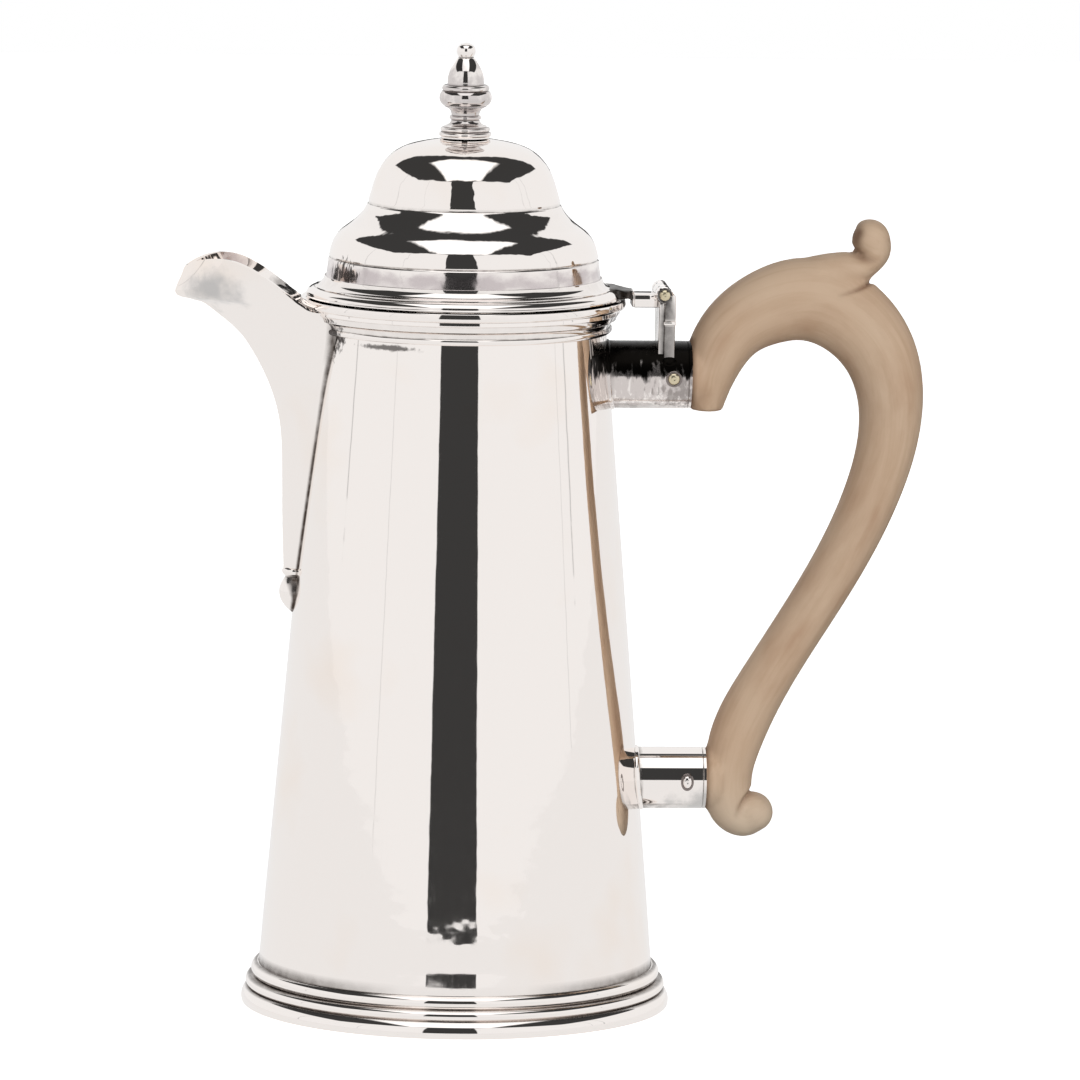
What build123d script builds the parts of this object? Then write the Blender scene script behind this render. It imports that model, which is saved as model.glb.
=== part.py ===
"""Silver chocolate pot with a hinged lid, a lift-off finial and a carved wooden handle.

Frame: millimetres, +Z up, the axis of the tapered body on Z, the foot standing on Z = 0.
The spout points to -X and the handle to +X.  Every piece is one solid in its own STEP file.
Profiles of turned pieces are drawn as (radius, height) and revolved about Z.
"""
from build123d import *
from dataclasses import dataclass
from math import asin, cos, hypot, sin, sqrt
import os

# ------------------------------------------------------------------ driving dimensions (mm)
# Fits
solder_film = 0.05          # gap that the solder fills between fixed curved faces
running_clearance = 0.06    # radial play of the hinge on its pin
pin_clearance = 0.03        # radial play of a pin in the piece that holds it
tenon_clearance = 0.10      # radial play of a wooden tenon in its socket
lid_seat_gap = 0.30         # lid flange above the body rim at rest
side_play = 0.25            # between neighbouring hinge knuckles

# Body
body_height = 180.5         # top edge of the wall
body_foot_radius = 50.5     # outside, at the base plate
body_mouth_radius = 35.6    # outside, at the top edge
body_wall = 1.0

# Foot
foot_height = 10.2
foot_overhang = 4.0         # of the band outside the body wall
foot_band_height = 4.05
foot_band_round = 1.3       # how far the band's round top falls back
foot_band_edge = 0.4        # upright edge that the band stands on
foot_reed_split = 6.8       # height where the two reeds meet
foot_lower_reed_setback = 1.1   # inside the band
foot_upper_reed_setback = 1.4   # inside the lower reed
foot_step = 1.0             # how far each reed's root stands inside its face
foot_ring_width = 4.0       # of the flat face that the pot stands on
foot_land = 0.45            # flat top of the foot moulding
base_thickness = 1.0
base_height = 4.6           # underside of the base plate

# Rim moulding of the body
rim_depth = 8.3             # from its lower edge to the top of the wall
rim_land = 0.25
rim_lower_reed_height = 1.55
rim_lower_reed_overhang = 2.2   # these overhangs are outside the mouth of the wall
rim_reed_widest = 0.6       # share of its height at which the reed is widest
rim_reed_step = 0.3         # from the lower reed back to the cove
rim_cove_height = 3.45
rim_cove_sag = (0.36, 0.54)     # shares of its depth and height through which the hollow passes
rim_fascia_overhang = 4.0
rim_fascia_height = 1.15
rim_top_band_overhang = 5.6
rim_top_band_round = 1.0
rim_top_band_tuck = 0.6     # how far its rounded lower edge goes in, as a share of that height
rim_top_band_bulge = (0.15, 0.4)    # a point of the rounding, inward and up, in the same shares

# Lid
lid_wall = 0.8
lid_skirt_setback = 0.7     # inside the outside of the body's mouth
lid_band_bottom_setback = 0.2   # inside the skirt
lid_band_top_setback = 0.7
lid_flange_height = 5.1
lid_flange_setback = 1.4    # inside the top band of the body rim
lid_flange_lip = 0.5
lid_flange_groove_depth = 2.2
lid_flange_groove_height = 2.3
lid_band_height = 9.6       # these heights are above the lid's seat
lid_waist_height = 23.2
lid_dome_height = 40.2
lid_waist_setback = 9.6     # inside the top of the band
lid_bead = 0.35             # depth of the fine grooves at band and waist
bezel_depth = 5.3           # below the seat
bezel_grip = 3.6            # above the seat
bezel_wall = 0.9

# Finial
aperture_radius = 4.7
collar_wall = 0.7
collar_flange_radius = 6.2
collar_flange_thickness = 0.5
collar_depth = 3.6
sleeve_clearance = 0.08
sleeve_wall = 0.8
sleeve_depth = 6.0
finial_base_radius = 6.65
finial_step_radius = 6.3
finial_neck_radius = 3.6
finial_knop_seat_radius = 5.2
finial_knop_radius = 6.65
finial_reed_radius = 6.0
finial_cone_radius = 4.7
finial_throat_radius = 2.2
finial_button_radius = 2.4
finial_crease = 0.5         # how far the small steps stand inside the rounds
finial_base_height = 0.95   # these heights are above the finial's seat
finial_step_height = 2.2
finial_neck_height = 5.0
finial_knop_seat_height = 7.4
finial_knop_height = 9.7
finial_knop_top = 11.3
finial_reed_top = 12.85
finial_throat_height = 19.9
finial_button_height = 21.3
finial_height = 23.4

# Spout
spout_wall = 1.1
spout_length = 69.0         # from its lower end up to the rim
drop_radius = 3.85          # of the drop below the spout
drop_length = 12.0
drop_collar_radius = 3.2
drop_collar_height = 1.9
drop_collar_round = 0.4     # how far its ends stand inside it
drop_neck_radius = 2.4
drop_belly_depth = 6.5      # of its widest place below its top
spout_arch_height = 10.2    # highest point of the beak's edge above the rim
aperture_top_drop = 12.0    # opening in the body wall behind the spout, below the rim
aperture_height = 44.5
aperture_top_half_width = 10.5
aperture_bottom_half_width = 4.0
aperture_corner = 3.6

# Handle sockets
socket_wall = 1.0
socket_collar_width = 1.1
socket_collar_step = 0.45
upper_socket_drop = 19.3    # of its axis below the rim
upper_socket_diameter = 17.2
upper_socket_reach = 20.7   # from the body wall to the open end
lower_socket_height = 57.8
lower_socket_diameter = 15.7
lower_socket_reach = 17.2
tenon_length = 15.0
handle_pin_inset = 4.9      # from the open end of a socket
handle_pin_radius = 1.15
handle_pin_head_radius = 1.65
handle_pin_head_height = 0.5

# Hinge
hinge_offset = 10.7         # pin axis outside the lid flange
hinge_rise = 1.75           # pin axis above the rim
knuckle_radius = 2.15
hinge_width = 18.0
lid_knuckle_width = 8.0
hinge_pin_radius = 1.1
hinge_pin_head_radius = 1.5
hinge_pin_head_height = 0.55
knuckle_swing_gap = 0.85    # round the middle knuckle, where the bracket is cut away for it
bracket_leaf = 2.8          # thickness of the leaf on the side of the handle
bracket_back = 1.3          # thickness of the narrower leaf on the side of the lid
bracket_foot_width = 14.0
bracket_foot_depth = 3.8    # below the top of the upper socket
bracket_shoulder_drop = 5.75    # full width begins this far below the pin
bracket_bead = 0.25         # how far it stands out
bracket_bead_round = 0.2
bracket_bead_width = 17.6
bracket_bead_height = 0.9
bracket_bead_drop = 7.15    # below the pin
bracket_back_width = 16.0
bracket_flare = 1.04        # width halfway up to the shoulder, over the width of the foot
arm_height = 3.4
arm_box_length = 5.4
arm_box_drop = 0.7          # middle of the box below the pin
arm_root_width = 15.0

# Handle
volute_radius = 6.5
volute_half_width = 5.6
heel_radius = 6.4
ear_radius = 5.3
ear_half_width = 5.2
scroll_edge_round = 1.6
shoulder_setback = 0.1      # of the wood inside the outside of its socket

# ------------------------------------------------------------------ derived places
base_top = base_height + base_thickness
foot_radius = body_foot_radius + foot_overhang
foot_lower_reed_radius = foot_radius - foot_lower_reed_setback
foot_upper_reed_radius = foot_lower_reed_radius - foot_upper_reed_setback
rim_lower_reed_radius = body_mouth_radius + rim_lower_reed_overhang
rim_fascia_radius = body_mouth_radius + rim_fascia_overhang
rim_top_band_radius = body_mouth_radius + rim_top_band_overhang
seat_height = body_height + lid_seat_gap
lid_skirt_radius = body_mouth_radius - lid_skirt_setback
lid_band_bottom_radius = lid_skirt_radius - lid_band_bottom_setback
lid_band_top_radius = lid_skirt_radius - lid_band_top_setback
lid_flange_radius = rim_top_band_radius - lid_flange_setback
lid_flange_groove_radius = lid_flange_radius - lid_flange_groove_depth
lid_waist_radius = lid_band_top_radius - lid_waist_setback
spout_floor_height = body_height - spout_length
aperture_top = body_height - aperture_top_drop
aperture_bottom = aperture_top - aperture_height
upper_socket_height = body_height - upper_socket_drop
bezel_radius = lid_skirt_radius - lid_wall - solder_film
dome_top = seat_height + lid_dome_height
collar_radius = aperture_radius - solder_film
sleeve_radius = collar_radius - collar_wall - sleeve_clearance
finial_seat = dome_top + collar_flange_thickness + solder_film
hinge_x = lid_flange_radius + hinge_offset
hinge_z = body_height + hinge_rise


def body_radius(height):
    """Outside radius of the tapered body wall at a height."""
    share = (height - base_top) / (body_height - base_top)
    return body_foot_radius + share * (body_mouth_radius - body_foot_radius)


upper_socket_end = body_radius(upper_socket_height) + upper_socket_reach
lower_socket_end = body_radius(lower_socket_height) + lower_socket_reach


# ------------------------------------------------------------------ helpers
def chain(*runs):
    """One wire from lines, arcs and polylines that follow each other."""
    return Wire([edge for run in runs for edge in run.edges()])


def closed(*runs):
    """One closed wire: the runs, and a straight line back to their start if they need it."""
    path = chain(*runs)
    if path.is_closed:
        return path
    return chain(*runs, Line(path @ 1, path @ 0))


def turned(*runs):
    """Revolve a closed (radius, height) profile about Z."""
    return revolve(make_face(Plane.XZ * closed(*runs)), Axis.Z)


def rod(radius, x_from, x_to, height):
    """Solid cylinder along X."""
    return Pos((x_from + x_to) / 2, 0, height) * Rot(0, 90, 0) * Cylinder(radius, x_to - x_from)


def cross_pin(radius, length, x, height):
    """Solid cylinder along Y, centred on the pot's middle plane."""
    return Pos(x, 0, height) * Rot(90, 0, 0) * Cylinder(radius, length)


def body_envelope(growth=0.0, bottom=-1.0, top=body_height + 1.0):
    """Solid cone of the body's outside, grown by a gap, for trimming what is soldered on."""
    low, high = body_radius(bottom) + growth, body_radius(top) + growth
    return turned(Polyline((0, bottom), (low, bottom), (high, top), (0, top), close=True))


# ------------------------------------------------------------------ body
def make_body_shell():
    """Tapered wall, open at the top, with the pouring aperture behind the spout."""
    inner_low = body_foot_radius - body_wall
    inner_high = body_mouth_radius - body_wall
    wall = turned(Polyline((inner_low, base_top), (body_foot_radius, base_top),
                           (body_mouth_radius, body_height), (inner_high, body_height), close=True))
    outline = Polyline((-aperture_bottom_half_width, aperture_bottom),
                       (aperture_bottom_half_width, aperture_bottom),
                       (aperture_top_half_width, aperture_top),
                       (-aperture_top_half_width, aperture_top), close=True)
    window = make_face(Plane.YZ * outline)
    window = fillet(window.vertices(), aperture_corner)
    return wall - extrude(window, amount=-2 * body_foot_radius)


def make_base_plate():
    """Flat disc that closes the body inside the foot moulding."""
    return Pos(0, 0, base_height + base_thickness / 2) * Cylinder(body_foot_radius, base_thickness)


def make_foot_moulding():
    """Reeded ring round the bottom of the body, with a rebate that carries the base plate."""
    bore = body_foot_radius + solder_film
    top_bore = body_radius(foot_height) + solder_film
    split = (foot_upper_reed_radius - foot_step, foot_reed_split)
    band_top = (foot_lower_reed_radius - foot_step, foot_band_height)
    band_low = (foot_radius, foot_band_edge)
    band_middle = (foot_radius - 0.12 * foot_band_round, 0.57 * foot_band_height)
    band_end = (foot_radius - foot_band_round, foot_band_height)
    lower_middle = (foot_lower_reed_radius, (foot_band_height + foot_reed_split) / 2)
    upper_middle = (foot_upper_reed_radius, (foot_reed_split + foot_height) / 2)
    top = (top_bore + foot_land, foot_height)
    return turned(
        Polyline((top_bore, foot_height), (bore, base_top), (bore, base_height),
                 (foot_radius - foot_ring_width, base_height), (foot_radius - foot_ring_width, 0),
                 (foot_radius, 0), band_low),
        ThreePointArc(band_low, band_middle, band_end),
        Line(band_end, band_top),
        ThreePointArc(band_top, lower_middle, split),
        ThreePointArc(split, upper_middle, top))


def make_rim_moulding():
    """Moulded ring round the mouth: lower reed, cove, fascia and a flat band with a round lower edge."""
    bottom = body_height - rim_depth
    inner_low = body_radius(bottom) + solder_film
    inner_top = body_mouth_radius + solder_film
    reed_bottom = (inner_low + rim_land, bottom)
    reed_top = (rim_lower_reed_radius - rim_land, bottom + rim_lower_reed_height)
    reed_middle = (rim_lower_reed_radius, bottom + rim_lower_reed_height * rim_reed_widest)
    cove_low = (reed_top[0] - rim_reed_step, reed_top[1])
    cove_top = (rim_fascia_radius, reed_top[1] + rim_cove_height)
    inward, upward = rim_cove_sag
    cove_middle = (cove_low[0] + inward * (cove_top[0] - cove_low[0]), reed_top[1] + upward * rim_cove_height)
    fascia_top = (rim_fascia_radius, cove_top[1] + rim_fascia_height)
    inward, upward = rim_top_band_bulge
    band_low = (rim_top_band_radius - rim_top_band_tuck * rim_top_band_round, fascia_top[1])
    band_middle = (rim_top_band_radius - inward * rim_top_band_round,
                   fascia_top[1] + upward * rim_top_band_round)
    band_high = (rim_top_band_radius, fascia_top[1] + rim_top_band_round)
    return turned(
        Line((inner_low, bottom), reed_bottom),
        ThreePointArc(reed_bottom, reed_middle, reed_top),
        Line(reed_top, cove_low),
        ThreePointArc(cove_low, cove_middle, cove_top),
        Polyline(cove_top, fascia_top, band_low),
        ThreePointArc(band_low, band_middle, band_high),
        Polyline(band_high, (rim_top_band_radius, body_height), (inner_top, body_height)))


# ------------------------------------------------------------------ spout
@dataclass(frozen=True)
class SpoutStation:
    """One level section of the spout: where its keel and its two walls stand."""

    rise: float         # above the rim
    reach: float        # keel outside the body wall
    root: float         # half width at the body
    belly: float        # half width at six tenths of the reach


SPOUT_KEEL = [
    SpoutStation(-spout_length, 3.3, 4.4, 2.5),
    SpoutStation(-56.5, 4.8, 7.2, 4.0),
    SpoutStation(-40.5, 6.4, 10.0, 5.6),
    SpoutStation(-31.5, 7.9, 11.3, 6.4),
    SpoutStation(-24.5, 10.3, 12.4, 7.0),
    SpoutStation(-18.5, 13.4, 13.6, 7.5),
    SpoutStation(-13.5, 16.6, 15.0, 8.0),
    SpoutStation(-9.5, 19.8, 15.9, 8.5),
    SpoutStation(-6.0, 23.9, 16.2, 8.9),
    SpoutStation(-3.5, 27.3, 16.3, 9.4),
    SpoutStation(-1.2, 31.4, 16.4, 10.2),
    SpoutStation(0.8, 37.4, 16.4, 11.4),
]
SPOUT_PROW = [
    SPOUT_KEEL[-1],
    SpoutStation(6.5, 35.8, 16.4, 13.6),
    SpoutStation(spout_arch_height + 2.0, 34.4, 16.4, 14.8),
]
SPOUT_EDGE = [(37.7, 0.6), (35.8, 6.5), (31.5, 9.3), (24.6, spout_arch_height),
              (15.6, 6.4), (8.0, 0.6), (4.0, -2.2)]   # (reach, height above the rim)


def spout_section(station, inset, lift):
    """Pointed level face of the spout at a station, drawn inside the wall by inset."""
    height = body_height + station.rise
    wall_radius = body_radius(height)
    keel = -(wall_radius + station.reach) + inset
    root = station.root - inset
    belly = station.belly - inset
    joint = -sqrt(wall_radius ** 2 - station.root ** 2)
    shoulder = joint + 0.6 * (-(wall_radius + station.reach) - joint)
    outline = chain(ThreePointArc((joint, root), (shoulder, belly), (keel, 0)),
                    ThreePointArc((keel, 0), (shoulder, -belly), (joint, -root)),
                    Line((joint, -root), (joint, root)))
    return Pos(0, 0, height + lift) * make_face(outline)


def spout_solid(inset=0.0):
    """Filled spout; with an inset it is the channel that the wall leaves."""
    lower = []
    for index, station in enumerate(SPOUT_KEEL):
        if inset and index:
            last, this = SPOUT_KEEL[index - 1], station
            slope = hypot(this.reach - last.reach, this.rise - last.rise)
            lift = inset * (this.reach - last.reach) / slope
            lower.append(spout_section(station, inset, lift))
        else:
            lower.append(spout_section(station, inset, inset))
    prow = [lower[-1]] + [spout_section(station, inset, 0) for station in SPOUT_PROW[1:]]
    return loft(lower, ruled=True) + loft(prow, ruled=True)


def make_spout():
    """Open beak: a keeled shell whose edge arches up from the rim and comes down to a point."""
    shell = spout_solid() - spout_solid(spout_wall)
    edge = [(-(body_mouth_radius + reach), body_height + rise) for reach, rise in SPOUT_EDGE]
    clear = body_height + 4 * spout_arch_height
    beyond = edge[0][0] - spout_arch_height
    above = make_face(Plane.XZ * closed(
        Line(edge[0], edge[1]), Spline(*edge[1:]), Line(edge[-1], (0, edge[-1][1])),
        Polyline((0, edge[-1][1]), (0, clear), (beyond, clear), (beyond, edge[0][1]), edge[0])))
    shell -= extrude(above, amount=body_foot_radius, both=True)
    rim_low, rim_high = body_height - rim_depth - solder_film, body_height + 1.0
    rim_narrow, rim_wide = rim_lower_reed_radius + solder_film, rim_top_band_radius + solder_film
    rim = turned(Polyline((0, rim_low), (rim_narrow, rim_low), (rim_wide, body_height - rim_depth / 2),
                          (rim_wide, rim_high), (0, rim_high), close=True))
    shell = shell - body_envelope(solder_film) - rim
    return max(shell.solids(), key=lambda piece: piece.volume)


def make_spout_drop():
    """Cast drop on the body below the spout."""
    top = spout_floor_height
    axis_x = -body_radius(top - drop_length / 2)
    end = drop_collar_radius - drop_collar_round
    collar_low = top - drop_collar_height
    neck = (drop_neck_radius, collar_low)
    belly = (drop_radius, top - drop_belly_depth)
    profile = Plane.XZ * closed(
        Line((0, top), (end, top)),
        ThreePointArc((end, top), (drop_collar_radius, top - drop_collar_height / 2), (end, collar_low)),
        Line((end, collar_low), neck),
        Spline(neck, belly, (0.68 * drop_radius, top - 0.8 * drop_length), (0, top - drop_length)))
    drop = Pos(axis_x, 0, 0) * revolve(make_face(profile), Axis.Z)
    return drop - body_envelope(solder_film)


# ------------------------------------------------------------------ handle sockets and pins
def make_socket(diameter, height, end, pin_x):
    """Round socket soldered to the body, with a thin collar at its root and cross-pin holes."""
    outer = diameter / 2
    tube = rod(outer, 0, end, height)
    collar = rod(outer + socket_collar_step, 0, end, height) & body_envelope(socket_collar_width)
    bore = rod(outer - socket_wall, 0, end + 1, height)
    holes = cross_pin(handle_pin_radius + pin_clearance, 2 * diameter, pin_x, height)
    socket = tube + collar - bore - holes - body_envelope(solder_film)
    return socket


def headed_pin(shaft, head, length, dome, under=0.0):
    """Pin along Y with a low domed head at each end; under is how deep each head's skirt reaches."""
    half = length / 2
    rim = 0.3 * dome
    crown = dome - rim
    sphere = (head ** 2 + crown ** 2) / (2 * crown)
    middle = asin(head / sphere) / 2
    side, rise = sphere * sin(middle), half + dome - sphere * (1 - cos(middle))
    profile = [(shaft, half - under), (head, half - under), (head, half + rim)]
    lower = [(radius, -height) for radius, height in reversed(profile)]
    pin = turned(ThreePointArc((0, -half - dome), (side, -rise), lower[0]),
                 Polyline(*lower, *profile),
                 ThreePointArc(profile[-1], (side, rise), (0, half + dome)))
    return Rot(90, 0, 0) * pin


def make_handle_pin(diameter, height, pin_x):
    """Round pin through a socket and the tenon, with its heads bedded on the round socket."""
    half = diameter / 2
    skirt = half - sqrt(half ** 2 - handle_pin_head_radius ** 2)
    pin = Pos(pin_x, 0, height) * headed_pin(handle_pin_radius, handle_pin_head_radius,
                                             diameter, handle_pin_head_height, skirt)
    bed = rod(half + solder_film, 0, 2 * pin_x, height)
    return pin - (bed - cross_pin(handle_pin_radius, 2 * diameter, pin_x, height))


# ------------------------------------------------------------------ hinge
def make_hinge_bracket():
    """Standing bracket on the upper socket that carries the two outer knuckles."""
    socket_radius = upper_socket_diameter / 2 + solder_film
    saddle = upper_socket_height + socket_radius - bracket_foot_depth
    half = hinge_width / 2
    foot = bracket_foot_width / 2
    shoulder = hinge_z - bracket_shoulder_drop
    middle = (saddle + shoulder) / 2
    outline = chain(
        Polyline((-foot, saddle), (foot, saddle)),
        Spline((foot, saddle), (foot * bracket_flare, middle), (half, shoulder)),
        Polyline((half, shoulder), (half, hinge_z), (-half, hinge_z), (-half, shoulder)),
        Spline((-half, shoulder), (-foot * bracket_flare, middle), (-foot, saddle)))
    leaf = extrude(make_face(Plane.YZ * outline), amount=bracket_leaf)
    height = hinge_z - saddle
    back = Pos(-bracket_back / 2, 0, saddle + height / 2) * Box(bracket_back, bracket_back_width, height)
    back &= extrude(make_face(Plane.YZ * outline), amount=bracket_back, both=True)
    bead = Box(bracket_leaf + 2 * bracket_bead, bracket_bead_width, bracket_bead_height)
    bead = fillet(bead.edges().filter_by(Axis.Y), bracket_bead_round)
    bead = Pos(bracket_leaf / 2, 0, hinge_z - bracket_bead_drop) * bead
    bracket = Pos(hinge_x, 0, 0) * (leaf + back + bead)
    bracket += cross_pin(knuckle_radius, hinge_width, hinge_x, hinge_z)
    gap = lid_knuckle_width + 2 * side_play
    swing = knuckle_radius + knuckle_swing_gap
    bracket -= cross_pin(swing, gap, hinge_x, hinge_z)
    bracket -= Pos(hinge_x, 0, hinge_z + swing / 2) * Box(2 * swing, gap, swing)
    bracket -= cross_pin(hinge_pin_radius + pin_clearance, 2 * hinge_width, hinge_x, hinge_z)
    return bracket - rod(socket_radius, 0, 2 * upper_socket_end, upper_socket_height)


def make_hinge_pin():
    """Pin through the three knuckles, riveted over at both ends."""
    pin = headed_pin(hinge_pin_radius, hinge_pin_head_radius,
                     hinge_width + 2 * solder_film, hinge_pin_head_height)
    return Pos(hinge_x, 0, hinge_z) * pin


def make_lid_hinge_arm():
    """Arm soldered to the lid flange: flared root, box and the middle knuckle."""
    half = lid_knuckle_width / 2
    box_start = hinge_x - knuckle_radius - arm_box_length
    low = hinge_z - arm_box_drop - arm_height / 2
    box = Pos((box_start + hinge_x) / 2, 0, low + arm_height / 2) * Box(
        hinge_x - box_start, lid_knuckle_width, arm_height)
    neck_outline = make_face(closed(
        Line((lid_skirt_radius, -arm_root_width / 2), (lid_flange_radius, -arm_root_width / 2)),
        Spline((lid_flange_radius, -arm_root_width / 2), (lid_flange_radius + 2, -half * 1.05),
               (box_start, -half * 0.85)),
        Line((box_start, -half * 0.85), (box_start, half * 0.85)),
        Spline((box_start, half * 0.85), (lid_flange_radius + 2, half * 1.05),
               (lid_flange_radius, arm_root_width / 2)),
        Line((lid_flange_radius, arm_root_width / 2), (lid_skirt_radius, arm_root_width / 2))))
    neck_low = seat_height + solder_film
    neck_top = low + arm_height - 0.4
    neck = extrude(Pos(0, 0, neck_low) * neck_outline, amount=neck_top - neck_low)
    arm = box + neck + cross_pin(knuckle_radius, lid_knuckle_width, hinge_x, hinge_z)
    arm -= cross_pin(hinge_pin_radius + running_clearance, hinge_width, hinge_x, hinge_z)
    return arm - flange_envelope()


# ------------------------------------------------------------------ lid
def flange_points():
    """Corners of the lid flange moulding, from its lower edge up to the band."""
    lip = (lid_flange_radius, seat_height + lid_flange_lip)
    groove = (lid_flange_groove_radius, seat_height + lid_flange_groove_height)
    top = (lid_skirt_radius + rim_land, seat_height + lid_flange_height)
    return lip, groove, top


def flange_edges():
    """Outside of the flange moulding: small lip, quarter round, fine groove and cove."""
    lip, groove, top = flange_points()
    quarter = (lip[0] - 0.28 * (lip[0] - groove[0]), lip[1] + 0.68 * (groove[1] - lip[1]))
    above = (groove[0], groove[1] + rim_land)
    cove = (above[0] - 0.62 * (above[0] - top[0]), above[1] + 0.38 * (top[1] - above[1]))
    return [Line((lid_flange_radius, seat_height), lip),
            ThreePointArc(lip, quarter, groove),
            Line(groove, above),
            ThreePointArc(above, cove, top)]


def make_lid_flange():
    """Moulded ring soldered round the lower edge of the lid; it sits on the body rim."""
    bore = lid_skirt_radius + solder_film
    top = flange_points()[2]
    return turned(Line((bore, seat_height), (lid_flange_radius, seat_height)),
                  *flange_edges(), Line(top, (bore, top[1])))


def flange_envelope():
    """Filled shape of the flange and everything inside it."""
    top = flange_points()[2]
    return turned(Line((0, seat_height), (lid_flange_radius, seat_height)),
                  *flange_edges(), Line(top, (0, top[1])))


LID_SHOULDER = [(0.6, 12.4), (1.5, 14.6), (3.25, 16.75), (5.5, 18.45),
                (7.65, 20.35), (9.0, 22.1)]     # (inside the top of the band, above the seat)


def drawn_inside(points, inset):
    """Smooth curve through (radius, height) points, moved inwards across its own direction."""
    curve = Spline(*points)
    if not inset:
        return curve
    moved = []
    for point in points:
        along = curve.tangent_at(curve.param_at_point(point))
        moved.append((point[0] - inset * along.Y, point[1] + inset * along.X))
    return Spline(*moved)


def lid_profile(inset):
    """Outline of the lid from its lower edge to the aperture, drawn inside by inset."""
    def at(radius, height):
        return (radius - inset, seat_height + height)

    skirt = at(lid_skirt_radius, 0)
    skirt_top = at(lid_skirt_radius, lid_flange_height)
    band_low = at(lid_band_bottom_radius, lid_flange_height + lid_bead)
    band_top = at(lid_band_top_radius, lid_band_height)
    groove = at(lid_band_top_radius - lid_bead, lid_band_height + lid_bead)
    shoulder = [(lid_band_top_radius - lid_bead / 2, seat_height + lid_band_height + 2 * lid_bead)]
    shoulder += [(lid_band_top_radius - setback, seat_height + rise) for setback, rise in LID_SHOULDER]
    shoulder.append((lid_waist_radius, seat_height + lid_waist_height))
    slope = drawn_inside(shoulder, inset)
    crease = at(lid_waist_radius - lid_bead, lid_waist_height + lid_bead)
    rise = lid_dome_height - lid_waist_height
    dome = [(lid_waist_radius * share - inset * sideways, seat_height + lid_waist_height + rise * up
             - inset * sqrt(1 - sideways ** 2))
            for share, up, sideways in ((0.985, 0.07, 1.0), (0.94, 0.30, 0.97), (0.865, 0.56, 0.88),
                                        (0.69, 0.82, 0.62), (0.40, 0.955, 0.22))]
    crown = (aperture_radius, dome_top - inset)
    return [Polyline(skirt, skirt_top, band_low, band_top, groove, slope @ 0),
            slope,
            Polyline(slope @ 1, crease, dome[0]),
            Spline(*dome, crown)]


def make_lid_dome():
    """Raised cover in one sheet: straight band, stepped shoulder and high dome."""
    outside = chain(*lid_profile(0))
    inside = chain(*lid_profile(lid_wall))
    return turned(*lid_profile(0), Line(outside @ 1, inside @ 1), *lid_profile(lid_wall),
                  Line(inside @ 0, outside @ 0))


def make_lid_bezel():
    """Plain ring inside the lid that drops into the mouth of the body."""
    length = bezel_depth + bezel_grip
    middle = seat_height - bezel_depth + length / 2
    return Pos(0, 0, middle) * (Cylinder(bezel_radius, length)
                                - Cylinder(bezel_radius - bezel_wall, length))


# ------------------------------------------------------------------ finial
def make_finial_collar():
    """Flanged bush that lines the aperture in the lid for the stirring rod."""
    bore = collar_radius - collar_wall
    low = dome_top - collar_depth
    flange = dome_top + solder_film
    top = flange + collar_flange_thickness
    return turned(Polyline((bore, low), (collar_radius, low), (collar_radius, flange),
                           (collar_flange_radius, flange), (collar_flange_radius, top - 0.15),
                           (collar_flange_radius - 0.15, top), (bore, top), close=True))


def make_finial():
    """Cast baluster: stepped base, waisted neck, knop, small reed, cone and button."""
    def at(radius, rise):
        return (radius, finial_seat + rise)

    crease = finial_crease
    base, step = finial_base_radius, finial_step_radius
    base_top, step_top = finial_base_height, finial_step_height
    seat_side, seat = finial_knop_seat_radius, finial_knop_seat_height
    knop_top, reed_top, cone = finial_knop_top, finial_reed_top, finial_cone_radius
    cone_length = finial_throat_height - reed_top
    neck_length = seat - step_top
    return turned(
        Line(at(0, 0), at(base - crease / 2, 0)),
        ThreePointArc(at(base - crease / 2, 0), at(base, base_top / 2), at(base - crease, base_top)),
        Line(at(base - crease, base_top), at(step - crease, base_top)),
        ThreePointArc(at(step - crease, base_top), at(step, (base_top + step_top) / 2),
                      at(step - crease, step_top)),
        Spline(at(step - crease, step_top), at(finial_neck_radius * 1.1, step_top + 0.24 * neck_length),
               at(finial_neck_radius, finial_neck_height),
               at(finial_neck_radius * 1.12, finial_neck_height + 0.5 * (seat - finial_neck_height)),
               at(seat_side, seat)),
        Line(at(seat_side, seat), at(seat_side + crease, seat)),
        ThreePointArc(at(seat_side + crease, seat), at(finial_knop_radius, finial_knop_height),
                      at(finial_reed_radius + crease / 2, knop_top)),
        Line(at(finial_reed_radius + crease / 2, knop_top), at(finial_reed_radius - crease / 2, knop_top)),
        ThreePointArc(at(finial_reed_radius - crease / 2, knop_top),
                      at(finial_reed_radius, (knop_top + reed_top) / 2),
                      at(cone + crease, reed_top)),
        Line(at(cone + crease, reed_top), at(cone, reed_top)),
        Spline(at(cone, reed_top), at(0.95 * cone, reed_top + 0.36 * cone_length),
               at(0.72 * cone, reed_top + 0.7 * cone_length),
               at(finial_throat_radius, finial_throat_height)),
        Spline(at(finial_throat_radius, finial_throat_height),
               at(finial_button_radius, finial_button_height),
               at(0.75 * finial_button_radius, finial_height - 0.25 * finial_button_radius),
               at(0, finial_height)))


def make_finial_sleeve():
    """Short tube soldered under the finial that slides in the collar."""
    middle = finial_seat - solder_film - sleeve_depth / 2
    return Pos(0, 0, middle) * (Cylinder(sleeve_radius, sleeve_depth)
                                - Cylinder(sleeve_radius - sleeve_wall, sleeve_depth))


# ------------------------------------------------------------------ handle
@dataclass(frozen=True)
class GripStation:
    """One oval section of the handle, placed from a named point and square to the centre line."""

    dx: float
    dz: float
    thick: float        # half size across the grip in the middle plane
    wide: float         # half size across the pot's middle plane


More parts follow.
